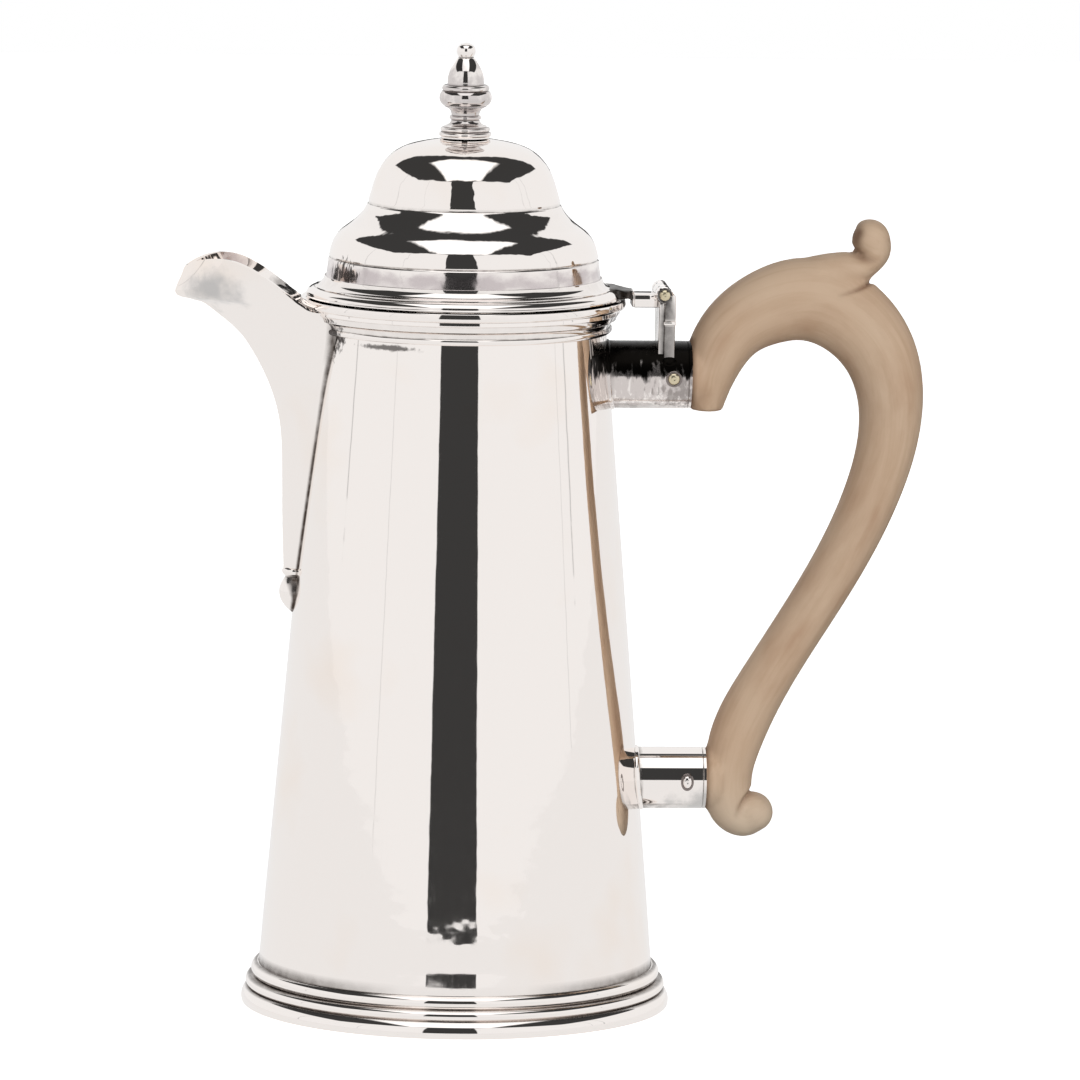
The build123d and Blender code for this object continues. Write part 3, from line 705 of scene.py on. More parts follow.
@dataclass(frozen=True)
class Boxwood(Finish):
    """Boxwood, carved with gouges, rubbed smooth by hands and dry with age.

    It looks like pale tan suede-smooth wood with faint streaks along the grip and painted shade in brown
    creases.
    """

    name: str = "boxwood_carved"
    light: str = "D3BCA3"
    middle: str = "C6A78B"
    cloud_mm: float = 24.0
    dark: str = "AE8D70"
    # painted shade, laid in the gouged creases and where the wood meets the sockets
    crease: str = "7A5A45"
    flush: str = "A98367"           # redder patches
    flush_mm: float = 9.0
    streak_mm: float = 2.2
    pore_mm: float = 0.45
    pore_depth_mm: float = 0.06
    roughness: float = 0.62
    sheen: float = 0.2              # dry wood mirrors little
    pale: str = "D9CAB5"            # paler low on the scroll
    pale_below: float = 62.0        # millimetres
    pale_fade: float = 25.0

    def lay(self, nodes: Nodes, place: Socket) -> dict[str, Any]:
        """Lays the streaks, the patches, the pale foot and the painted shade of the creases and joints.

        Args:
            nodes: The material's nodes.
            place: Object coordinates.

        Returns:
            Inputs of the shader.
        """
        grain = nodes.attribute(GRAIN, "Vector")        # its last coordinate is the way along the grip
        fibre = nodes.drawn(grain, 0.07)
        streak = nodes.noise(fibre, self.streak_mm, 5.0, 0.6, 0.3)
        patch = nodes.noise(nodes.drawn(grain, 0.4), self.flush_mm, 4.0, 0.55)
        low = nodes.step(nodes.height(place), self.pale_below * MM,
                         (self.pale_below - self.pale_fade) * MM, 0.8)
        colour = nodes.mix(nodes.noise(place, self.cloud_mm, 3.0), self.light, self.middle)
        for mask, laid in ((nodes.remap(streak, 0.46, 0.8, 0.0, 0.45), self.dark),
                           (nodes.remap(patch, 0.45, 0.75, 0.0, 0.5), self.flush),
                           (low, self.pale), (nodes.attribute(GROOVE), self.crease)):
            colour = nodes.mix(mask, colour, laid)
        return {"Base Color": colour, "Specular IOR Level": self.sheen,
                "Roughness": nodes.remap(streak, 0.0, 1.0, self.roughness - 0.12, self.roughness + 0.12),
                "Normal": nodes.bump(nodes.noise(fibre, self.pore_mm, 3.0), self.pore_depth_mm, 0.6)}


# ------------------------------------------------------------------ studio
@dataclass(frozen=True)
class Studio:
    """White cloth tent with a slot at the front for the lens and an opening overhead for the lamp."""

    tent: float = 0.91              # brightness of the cloth, which a mirror shows
    slot: float = 0.043
    lamp: float = 1.25
    front_turn: float = 5.2         # degrees from -Y towards -X of the slot's middle
    slot_half: float = 14.6
    back_half: float = 9.0          # half angle of the way in at the back
    slot_bottom: float = -0.75
    back_top: float = 0.09          # how high the way in at the back reaches, as a share up
    opening_front: Point = (1.22, 0.45)     # sides of the opening overhead: slope from the vertical, and
    opening_back: Point = (-0.32, 0.69)     # how much the side falls away outwards
    opening_half: float = 1.45
    lamp_front: Point = (1.0, 0.0)
    lamp_back: Point = (-0.14, 0.0)
    lamp_half: float = 0.47
    key: tuple[float, float, float] = (0.2, -0.95, 0.22)    # way to the soft light on matt surfaces
    fill: float = 0.06
    key_gain: float = 4.5
    key_power: float = 7.0
    rear_gain: float = 2.6          # of the same light from the opposite side
    seams: tuple[float, ...] = (-56.0, 76.0)    # degrees from -Y towards +X of the cloth's seams
    seam_dip: float = 0.22
    floor_half: float = 3000.0
    floor_drop: float = 0.02        # below the foot, in millimetres
    paper_lift: float = 0.76        # how far the paper is lifted to clear white for the camera
    camera_distance: float = 2.3    # metres
    camera_height: float = 0.426
    camera_yaw: float = 3.0         # degrees
    camera_roll: float = 0.78
    camera_aim: tuple[float, float, float] = (0.0203, 0.0, 0.1187)
    sensor: float = 36.0            # millimetres
    lens: float = 304.8

    def world(self) -> None:
        """Makes the tent as a world that only mirrors and matt surfaces see."""
        world = bpy.data.worlds.new("cloth_tent")
        nodes = Nodes(world)
        ray = nodes.add("TexCoord").outputs["Generated"]
        turn = math.radians(self.front_turn)
        ahead = nodes.vector("DOT_PRODUCT", ray, (-math.sin(turn), -math.cos(turn), 0.0))
        aside = nodes.vector("DOT_PRODUCT", ray, (math.cos(turn), -math.sin(turn), 0.0))
        up = nodes.vector("DOT_PRODUCT", ray, (0.0, 0.0, 1.0))
        wide = nodes.math("ABSOLUTE", aside)
        front = nodes.math("DIVIDE", wide, ahead)
        above = nodes.edge(up, math.sin(math.radians(self.slot_bottom)), 0.0015)
        slot = nodes.product(nodes.edge(front, math.tan(math.radians(self.slot_half)), -0.006), above,
                             nodes.edge(ahead, 0.0, 0.02))
        behind = nodes.product(nodes.edge(front, -math.tan(math.radians(self.back_half)), 0.006), above,
                               nodes.edge(up, self.back_top, -0.01), nodes.edge(ahead, 0.0, -0.02))
        slopes = up, nodes.math("DIVIDE", wide, up), nodes.math("DIVIDE", ahead, up)
        opening = self.window(nodes, slopes, self.opening_half, self.opening_front, self.opening_back, 0.04)
        lamp = self.window(nodes, slopes, self.lamp_half, self.lamp_front, self.lamp_back, 0.05)
        dark = nodes.math("MAXIMUM", nodes.math("MAXIMUM", slot, opening), behind)
        for azimuth in self.seams:
            dark = nodes.math("MAXIMUM", dark, self.seam(nodes, ray, math.radians(azimuth)))
        mirrored = nodes.blend(lamp, nodes.remap(dark, 0.0, 1.0, self.tent, self.slot), self.lamp)
        lights = nodes.add("LightPath").outputs
        level = nodes.blend(lights["Is Diffuse Ray"], mirrored, self.soft_light(nodes, ray))
        room = nodes.add("Background", {"Color": WHITE, "Strength": level}).outputs[0]
        paper = nodes.add("Background", {"Color": WHITE, "Strength": 1.0}).outputs[0]
        nodes.add("OutputWorld", {"Surface": nodes.either(lights["Is Camera Ray"], room, paper)})
        bpy.context.scene.world = world

    def window(self, nodes: Nodes, slopes: tuple[Socket, Socket, Socket], half: float, front: Point,
               back: Point, soft: float) -> Socket:
        """Rectangle in the roof of the tent.

        Args:
            nodes: The world's nodes.
            slopes: Share of the ray that points up, and its slopes to the side and to the front.
            half: Half width as a slope.
            front: Front side as a slope, and how much it falls away outwards.
            back: Back side, in the same way.
            soft: Softness of its sides.

        Returns:
            A mask that is 1 inside.
        """
        up, across, forward = slopes
        masks = [nodes.edge(across, half, -soft), nodes.edge(up, 0.05, 0.02)]
        for (side, flare), way in ((front, -soft), (back, soft)):
            masks.append(nodes.edge(nodes.math("MULTIPLY_ADD", across, flare, forward), side, way))
        return nodes.product(*masks)

    def seam(self, nodes: Nodes, ray: Socket, angle: float) -> Socket:
        """Faint upright line in the cloth.

        Args:
            nodes: The world's nodes.
            ray: Direction of the ray.
            angle: Azimuth of the seam.

        Returns:
            How dark the seam makes the cloth.
        """
        across = nodes.vector("DOT_PRODUCT", ray, (math.cos(angle), math.sin(angle), 0.0))
        toward = nodes.vector("DOT_PRODUCT", ray, (math.sin(angle), -math.cos(angle), 0.0))
        line = nodes.product(nodes.edge(nodes.math("ABSOLUTE", across), 0.0045, -0.003),
                             nodes.edge(toward, 0.0, 0.02))
        return nodes.math("MULTIPLY", line, self.seam_dip)

    def soft_light(self, nodes: Nodes, ray: Socket) -> Socket:
        """Soft light that matt surfaces get from the front, and weaker from behind.

        Args:
            nodes: The world's nodes.
            ray: Direction of the ray.

        Returns:
            Its level.
        """
        level = self.fill
        for way, gain in ((1, self.key_gain), (-1, self.rear_gain)):
            source = Vector((way * self.key[0], way * self.key[1], self.key[2])).normalized()
            toward = nodes.math("MAXIMUM", nodes.vector("DOT_PRODUCT", ray, tuple(source)), 0.0)
            level = nodes.math("MULTIPLY_ADD", nodes.math("POWER", toward, self.key_power), gain, level)
        return level

    def floor(self) -> None:
        """Lays the white paper that the pot stands on; it is clear from below."""
        bm = bmesh.new()
        bmesh.ops.create_grid(bm, x_segments=1, y_segments=1, size=self.floor_half)
        bmesh.ops.translate(bm, verts=bm.verts, vec=(0, 0, -self.floor_drop))
        floor = finish_mesh(bm, "paper_floor", recalculate=False)
        material = bpy.data.materials.new("white_paper")
        nodes = Nodes(material)
        paper, back = (nodes.add("BsdfDiffuse", {"Color": linear(code)}).outputs[0]
                       for code in ("F4F3F1", "AEACA9"))
        bright, cloth = (nodes.add("Emission", {"Color": WHITE, "Strength": level}).outputs[0]
                         for level in (self.paper_lift, self.tent))
        rays = nodes.add("LightPath").outputs
        plain = nodes.either(rays["Is Glossy Ray"], back, nodes.either(0.1, cloth, paper))
        lit = nodes.add("AddShader", {0: paper, 1: bright}).outputs[0]
        both = nodes.either(nodes.add("NewGeometry").outputs["Backfacing"],
                            nodes.either(rays["Is Camera Ray"], plain, lit),
                            nodes.add("BsdfTransparent").outputs[0])
        nodes.add("OutputMaterial", {"Surface": both})
        floor.data.materials.append(material)

    def camera(self) -> None:
        """Stands the camera a little above the pot, far off on a long lens."""
        yaw, roll = math.radians(self.camera_yaw), math.radians(self.camera_roll)
        data = bpy.data.cameras.new("long_lens")
        data.sensor_width = self.sensor
        data.lens = self.lens
        camera = bpy.data.objects.new("long_lens", data)
        camera.location = (-self.camera_distance * math.sin(yaw), -self.camera_distance * math.cos(yaw),
                           self.camera_height)
        gaze = Vector(self.camera_aim) - camera.location
        turned = gaze.to_track_quat("-Z", "Y").to_matrix() @ Matrix.Rotation(roll, 3, "Z")
        camera.rotation_euler = turned.to_euler()
        bpy.context.scene.collection.objects.link(camera)
        bpy.context.scene.camera = camera


# ------------------------------------------------------------------ body
@dataclass
class TaperedBody:
    """Tapered wall with its base, foot moulding and rim moulding."""

    dented: bpy.types.Material
    # finish of the rim, with painted shadow at the spout's corner and at its right end
    rim_shadowed: bpy.types.Material
    height: float = 180.5
    base: float = 5.6
    foot_radius: float = 50.5
    mouth_radius: float = 35.6
    wall: float = 1.0
    window: tuple[Point, Point] = ((124.0, 4.0), (168.5, 10.5))     # height and half width of its ends
    reeds: tuple[float, float, float] = (4.1, 6.8, 10.2)            # heights of the grooves of the foot
    steps: int = 320

    def radius(self, height: float) -> float:
        """Outside radius of the wall at a height."""
        share = (height - self.base) / (self.height - self.base)
        return self.foot_radius + share * (self.mouth_radius - self.foot_radius)

    def build(self) -> None:
        """Makes the wall, the base and the two mouldings."""
        self.shell()
        self.foot()
        self.rim()

    def outside(self) -> list[Point]:
        """Outline of the wall, whose slope wanders a little above the foot as hammered walls do.

        Returns:
            The outline, from the base up.
        """
        lean = [(8.8, 0.0), (9.3, -0.4), (11.4, -0.4), (12.2, 0.3), (15.9, 0.3), (16.9, -0.42),
                (22.2, -0.42), (23.4, 0.0)]        # height, degrees of slope
        fine_top, fine_step, rows = 28.0, 0.4, 48       # they lie closer where the slope wanders
        heights = [self.base + fine_step * row for row in range(round((fine_top - self.base) / fine_step))]
        heights += [fine_top + (self.height - fine_top) * row / rows for row in range(rows + 1)]
        outline, offset = [], 0.0
        for below, height in zip([self.height] + heights[::-1], heights[::-1]):
            offset += math.tan(math.radians(ramp((below + height) / 2, lean))) * (below - height)
            outline.append((self.radius(height) + offset, height))
        return outline[::-1]

    def shell(self) -> None:
        """Raises the wall and opens it behind the spout."""
        bm = spun(self.outside(), self.steps, closed=False)
        (low, narrow), (high, wide) = self.window
        cuts = [((0, 0, height), (0, 0, 1)) for height in (low, high)]
        cuts += [((0, side * narrow, low), Vector((0, side, -(wide - narrow) / (high - low))).normalized())
                 for side in (-1, 1)]
        for spot, normal in cuts:
            bmesh.ops.bisect_plane(bm, geom=bm.verts[:] + bm.edges[:] + bm.faces[:], plane_co=spot,
                                   plane_no=normal)

        def in_window(spot: Vector) -> bool:
            """Whether a place on the wall lies in the pouring window."""
            return (spot.x < 0 and low < spot.z < high
                    and abs(spot.y) < narrow + (wide - narrow) * (spot.z - low) / (high - low))

        opened = [face for face in bm.faces if in_window(face.calc_center_median())]
        bmesh.ops.delete(bm, geom=opened, context="FACES")
        bmesh.ops.recalc_face_normals(bm, faces=bm.faces)
        bmesh.ops.solidify(bm, geom=bm.faces[:], thickness=self.wall)
        shell = finish_mesh(bm, "body_wall", grooves=self.foot_tarnish_and_side_shade)
        dress(shell, self.dented, Body.POT, "body_shell")

    def foot_tarnish_and_side_shade(self, bm: bmesh.types.BMesh) -> None:
        """Marks the corner above the foot as tarnish where polish doesn't reach, with painted shade and
        reflection that grows towards the left and right sides.

        Args:
            bm: The body's mesh, in millimetres.
        """
        layer = tarnish_and_shade_layer(bm)
        for vert in bm.verts:
            # painted shade and reflection, stronger towards the left and right sides
            side_shade = ramp(abs(vert.co.x) / self.foot_radius, [(0.3, 0.04), (0.62, 0.6), (0.9, 1.0)])
            vert[layer] = ramp(vert.co.z, [(10.4, 1.0), (11.2, 0.8), (12.8, 0.0)]) * side_shade

    def foot(self) -> None:
        """Turns the foot: flat band and two fat reeds."""
        lower, upper, root = 53.4, 52.0, 1.0
        seam, waist, crest = self.reeds
        top = (self.radius(crest) + 0.5, crest)
        outline = joined([(top[0] - 0.45, crest), (50.55, 5.6), (50.55, 4.6), (50.5, 4.6), (50.5, 0.15),
                          (50.65, 0), (54.2, 0), (54.4, 0.2)],
                         arc((54.45, 0.4), (54.38, 2.3), (53.2, 4.05), 18),
                         [(lower - root + 0.1, 4.05)],
                         arc((lower - root, seam), (lower, 5.35), (lower - root, waist), 14),
                         arc((upper - root, waist), (upper, 8.5), top, 14))
        foot = finish_mesh(spun(outline, self.steps), "foot_ring", grooves=self.reed_tarnish_and_side_shade)
        dress(foot, self.dented, Body.POT, "foot_moulding")

    def reed_tarnish_and_side_shade(self, bm: bmesh.types.BMesh) -> None:
        """Marks the three grooves of the foot as tarnish, with painted shade and reflection that grows
        towards the left and right sides.

        Args:
            bm: The foot's mesh, in millimetres.
        """
        layer = tarnish_and_shade_layer(bm)
        for vert in bm.verts:
            near = min(abs(vert.co.z - groove) for groove in self.reeds)
            outside = math.hypot(vert.co.x, vert.co.y) > self.radius(vert.co.z) + 0.2
            # painted shade and reflection, stronger towards the left and right sides
            side_shade = ramp(abs(vert.co.x) / self.foot_radius, [(0.3, 0.25), (0.62, 0.7), (0.9, 1.0)])
            vert[layer] = ramp(near, [(0.0, 1.0), (0.2, 0.75), (0.55, 0.0)]) * side_shade if outside else 0.0

    def rim(self) -> None:
        """Turns the rim: lower reed, cove, fascia and a bold top reed."""
        low = self.radius(172.2)
        outline = joined([(35.65, 180.5), (low + 0.05, 172.2), (low + 0.4, 172.2)],
                         arc((36.75, 172.25), (37.8, 173.0), (37.6, 173.75), 10),
                         [(37.3, 173.8)],
                         arc((37.3, 173.95), (37.7, 174.9), (38.6, 175.55), 10),
                         [(38.75, 175.6)],
                         arc((38.8, 175.7), (39.15, 176.6), (39.5, 177.1), 8),
                         [(39.66, 177.2), (39.66, 177.28), (39.6, 178.12), (39.59, 178.2), (39.65, 178.28),
                          (40.5, 178.32)],
                         arc((40.6, 178.38), (41.05, 178.8), (41.18, 179.3), 8),
                         [(41.17, 179.36), (41.08, 180.32), (40.95, 180.5)])
        rim = finish_mesh(spun(outline, self.steps), "rim_ring")
        dress(rim, self.rim_shadowed, Body.POT, "rim_moulding")


# ------------------------------------------------------------------ lid
@dataclass
class DomedLid:
    """Stepped lid: flange moulding, band, shoulder, waist and high dome, with its bezel and collar."""

    silver: bpy.types.Material
    steamed: bpy.types.Material
    seat: float = 180.8
    wall: float = 0.8
    steps: int = 320

    def build(self) -> None:
        """Makes the flange, the cover, the bezel and the collar."""
        self.flange()
        self.cover()
        self.bezel()
        self.collar()

    def flange(self) -> None:
        """Turns the flange: small lip, quarter round, groove and cove."""
        s = self.seat
        outline = joined([(34.95, s + 5.1), (34.95, s), (39.6, s), (39.8, s + 0.15), (39.8, s + 0.45)],
                         arc((39.7, s + 0.6), (39.2, s + 1.6), (37.75, s + 2.3), 14),
                         [(37.6, s + 2.35), (37.55, s + 2.6)],
                         arc((37.5, s + 2.65), (36.0, s + 3.45), (35.15, s + 5.1), 14))
        flange = finish_mesh(spun(outline, self.steps), "lid_flange_ring")
        dress(flange, self.silver, Body.LID, "lid_flange")

    def outside(self) -> list[Point]:
        """Outline of the cover from its lower edge to the collar.

        Returns:
            The outline.
        """
        s = self.seat
        band = [(34.9, s), (34.9, s + 5.0), (34.7, s + 5.15), (34.68, s + 5.25), (34.64, s + 5.6),
                (34.45, s + 7.4), (34.24, s + 9.3), (34.22, s + 9.45), (34.1, s + 9.65), (33.85, s + 9.85),
                (33.85, s + 10.0), (34.0, s + 10.2)]
        shoulder = spline([(34.02, s + 10.3), (33.6, s + 12.4), (32.7, s + 14.6), (30.95, s + 16.75),
                           (28.7, s + 18.45), (26.55, s + 20.35), (25.2, s + 22.1), (24.6, s + 23.2)], 10)
        groove = [(24.45, s + 23.4), (24.25, s + 23.5), (24.2, s + 23.75), (24.23, s + 24.2)]
        dome = spline([(24.23, 205.2), (23.12, 209.1), (21.28, 213.5), (16.97, 217.9), (9.84, 220.2),
                       (4.72, 221.0)], 12)
        return joined(band, shoulder, groove, dome)

    def cover(self) -> None:
        """Raises the cover in one sheet."""
        bm = spun(self.outside(), self.steps, closed=False)
        bmesh.ops.recalc_face_normals(bm, faces=bm.faces)
        outward = sum(face.normal.dot(Vector((*face.calc_center_median().xy, 0))) for face in bm.faces)
        if outward < 0:
            bmesh.ops.reverse_faces(bm, faces=bm.faces)
        bmesh.ops.solidify(bm, geom=bm.faces[:], thickness=self.wall)
        cover = finish_mesh(bm, "lid_cover")
        dress(cover, self.steamed, Body.LID, "lid_dome")

    def bezel(self) -> None:
        """Turns the ring that drops into the mouth."""
        low, high, radius = 175.5, 184.4, 34.05
        outline = [(radius - 0.9, low), (radius - 0.15, low), (radius, low + 0.2), (radius, high),
                   (radius - 0.9, high)]
        ring = finish_mesh(spun(outline, self.steps), "lid_bezel_ring")
        dress(ring, self.silver, Body.LID, "lid_bezel")

    def collar(self) -> None:
        """Turns the flanged bush in the top of the dome."""
        low, seat = 217.4, 221.05
        outline = [(3.95, low), (4.65, low), (4.65, seat), (6.2, seat), (6.2, seat + 0.35),
                   (6.05, seat + 0.5), (3.95, seat + 0.5)]
        bush = finish_mesh(spun(outline, 96), "finial_bush")
        dress(bush, self.silver, Body.LID, "finial_collar")


# ------------------------------------------------------------------ finial
@dataclass
class BalusterFinial:
    """Cast baluster finial with the short tube below it."""

    silver: bpy.types.Material
    seat: float = 221.55
    steps: int = 128

    def build(self) -> None:
        """Makes the baluster and its tube."""
        s = self.seat
        outline = joined([(0, s), (6.4, s)], arc((6.45, s), (6.65, s + 0.45), (6.3, s + 0.9), 8),
                         [(6.0, s + 0.95), (6.0, s + 1.15)],
                         arc((6.05, s + 1.2), (6.3, s + 1.65), (5.9, s + 2.1), 8),
                         [(5.45, s + 2.15), (5.4, s + 2.45)],
                         spline([(5.3, s + 2.5), (4.1, s + 3.05), (3.55, s + 4.0)], 6),
                         arc((3.6, s + 4.1), (4.05, s + 4.6), (3.6, s + 5.1), 6),
                         spline([(3.5, s + 5.15), (3.85, s + 6.3), (5.0, s + 7.3)], 6),
                         [(5.3, s + 7.35), (5.3, s + 7.6)],
                         arc((5.6, s + 7.65), (6.65, s + 9.7), (6.05, s + 11.2), 14),
                         [(5.6, s + 11.3)],
                         arc((5.7, s + 11.4), (6.0, s + 12.1), (5.1, s + 12.8), 8),
                         [(4.7, s + 12.85)],
                         spline([(4.65, s + 13.0), (4.45, s + 15.3), (3.4, s + 17.7), (2.15, s + 19.6)], 6),
                         [(1.85, s + 19.75)],
                         spline([(1.85, s + 19.9), (2.35, s + 21.1), (1.8, s + 22.7), (0, s + 23.4)], 6))
        finial = finish_mesh(spun(outline, self.steps, closed=False), "baluster")
        dress(finial, self.silver, Body.CAP, "finial")
        low, high = s - 6.05, s - 0.05
        tube = [(3.07, low), (3.87, low), (3.87, high), (3.07, high)]
        dress(finish_mesh(spun(tube, 64), "baluster_tube", edge_round=0.1), self.silver, Body.CAP,
              "finial_sleeve")


# ------------------------------------------------------------------ spout
@dataclass
class BeakSpout:
    """Keeled open beak on the front of the body, with a cast drop below it."""

    silver: bpy.types.Material
    pot: TaperedBody
    wall: float = 1.1
    chords: int = 40                # of a section, from the body to the keel
    fullness: float = 0.6           # how far out the belly of a section lies
    stations: tuple[tuple[float, float, float, float], ...] = (
        # rise above the rim, reach of the keel, half width at the body, half width at the belly
        (-69.0, 3.3, 4.4, 2.5), (-56.5, 4.8, 7.2, 4.0), (-40.5, 6.4, 10.0, 5.6), (-31.5, 7.9, 11.3, 6.4),
        (-24.5, 10.3, 12.4, 7.0), (-18.5, 13.4, 13.6, 7.5), (-13.5, 16.6, 15.0, 8.0), (-9.5, 19.8, 15.9, 8.5),
        (-6.0, 23.9, 16.2, 8.9), (-3.5, 27.3, 16.3, 9.4), (-1.2, 31.4, 16.4, 10.2), (0.8, 37.3, 16.4, 11.4),
        (3.4, 36.8, 16.4, 12.6), (6.5, 35.8, 16.4, 13.6), (12.4, 34.3, 16.4, 14.8))
    edge: tuple[Point, ...] = (
        # distance from the axis, rise above the rim, along the top of the side walls
        (33.0, -2.3), (39.6, -2.2), (43.6, 0.6), (51.2, 6.4), (60.2, 10.15), (67.1, 9.3), (71.4, 6.5),
        (73.3, 0.6))

    def build(self) -> None:
        """Makes the beak and its drop."""
        fine = spline(self.stations, 6)
        self.levels = [[(row[0], row[column]) for row in fine] for column in (1, 2, 3)]
        self.top = sorted(spline(self.edge, 6))
        self.beak()
        self.drop()

    def section(self, u: float, rise: float) -> Vector:
        """Place on the outside of the beak.

        Args:
            u: -1 and 1 at the body, 0 on the keel.
            rise: Height above the rim.

        Returns:
            The place, in millimetres.
        """
        radius = self.pot.radius(self.pot.height + rise)
        reach, root, belly = (ramp(rise, column) for column in self.levels)
        joint = math.sqrt(radius ** 2 - root ** 2)
        keel = radius + reach
        shoulder = joint + self.fullness * (keel - joint)
        side = arc((joint, root), (shoulder, belly), (keel, 0.0), self.chords)
        at = (1 - abs(u)) * self.chords
        first = min(int(at), self.chords - 1)
        (x0, y0), (x1, y1) = side[first], side[first + 1]
        x, y = x0 + (x1 - x0) * (at - first), y0 + (y1 - y0) * (at - first)
        return Vector((-x, math.copysign(y, u), self.pot.height + rise))

    def ceiling(self, u: float) -> float:
        """Rise of the top edge at a column of the beak.

        Args:
            u: -1 and 1 at the body, 0 on the keel.

        Returns:
            Height above the rim, in millimetres.
        """
        low, high = -8.0, 12.0      # the edge lies between these rises
        for _ in range(30):
            middle = (low + high) / 2
            if middle < ramp(-self.section(u, middle).x, self.top):
                low = middle
            else:
                high = middle
        return low

    def beak(self) -> None:
        """Shapes the wall as a bent sheet whose last rows swell into a thread along the edge."""
        columns, rows, bottom = 72, 96, self.stations[0][0]
        crowd_keel, crowd_top = 1.15, 1.5       # how much closer the columns and the rows lie there
        bm = bmesh.new()
        bmesh.ops.create_grid(bm, x_segments=columns, y_segments=rows, size=1.0)
        tops: dict[float, float] = {}
        for vert in bm.verts:
            u = math.copysign(abs(vert.co.x) ** crowd_keel, vert.co.x)
            v = (vert.co.y + 1) / 2
            key = round(u, 6)
            if key not in tops:
                tops[key] = self.ceiling(u)
            vert.co = self.section(u, bottom + (tops[key] - bottom) * (1 - (1 - v) ** crowd_top))
        bmesh.ops.recalc_face_normals(bm, faces=bm.faces)
        if sum(face.normal.y * face.calc_center_median().y for face in bm.faces) < 0:
            bmesh.ops.reverse_faces(bm, faces=bm.faces)
        bmesh.ops.solidify(bm, geom=bm.faces[:], thickness=self.wall)
        beak = finish_mesh(bm, "spout_beak", edge_round=0.3, grooves=self.solder_and_rim_shadow)
        dress(beak, self.silver, Body.POT, "spout")

    def solder_and_rim_shadow(self, bm: bmesh.types.BMesh) -> None:
        """Marks the dark line where the beak meets the wall, solder with painted shade, and widens it under
        the rim into painted shadow.

        Args:
            bm: The beak's mesh, in millimetres.
        """
        layer = tarnish_and_shade_layer(bm)
        for vert in bm.verts:
            lift = math.hypot(vert.co.x, vert.co.y) - self.pot.radius(vert.co.z)
            # the line widens under the rim as painted shadow
            wide = ramp(vert.co.z, [(112.0, 0.45), (155.0, 0.4), (164.0, 0.65), (172.0, 1.3)])
            vert[layer] = max(0.0, min(1.0, 1.5 - lift / wide)) if vert.co.z < 177.0 else 0.0

    def drop(self) -> None:
        """Turns the drop and beds it on the wall."""
        top, wide, length = 111.5, 3.85, 12.0
        outline = joined([(0, top), (2.7, top)],
                         arc((2.8, top - 0.05), (3.2, top - 0.95), (2.8, top - 1.85), 8),
                         [(2.35, top - 1.95), (2.35, top - 2.35)],
                         spline([(2.4, top - 2.4), (3.4, top - 4.2), (wide, top - 6.5), (2.6, top - 9.6),
                                 (0, top - length)], 10))
        bm = spun(outline, 64, closed=False)
        bmesh.ops.translate(bm, verts=bm.verts, vec=(-self.pot.radius(top - length / 2), 0, 0))
        for vert in bm.verts:
            limit = -math.sqrt(self.pot.radius(vert.co.z) ** 2 - vert.co.y ** 2) + 0.3
            vert.co.x = min(vert.co.x, limit)
        drop = finish_mesh(bm, "spout_tail", grooves=self.wedge_shadow)
        dress(drop, self.silver, Body.POT, "spout_drop")

    def wedge_shadow(self, bm: bmesh.types.BMesh) -> None:
        """Paints shade at the neck of the drop, and marks the wedge that runs down behind it to its tip as
        solder and painted shadow.

        Args:
            bm: The drop's mesh, in millimetres.
        """
        layer = tarnish_and_shade_layer(bm)
        for vert in bm.verts:
            off = math.hypot(vert.co.x, vert.co.y) - self.pot.radius(vert.co.z)
            wide = ramp(vert.co.z, [(99.5, 0.5), (104.0, 0.7), (109.4, 2.4), (109.8, 0.2)])
            vert[layer] = max(0.0, min(1.0, 1.6 - 1.1 * off / wide))


# ------------------------------------------------------------------ handle
@dataclass(frozen=True)
class Crease:
    """A gouge cut in the middle plane's view: its line, its depth, its width and the painted shade in it."""

    line: tuple[Point, ...]
    depth: float
    width: float
    # share of painted shade laid in the crease
    shade: float = 0.9


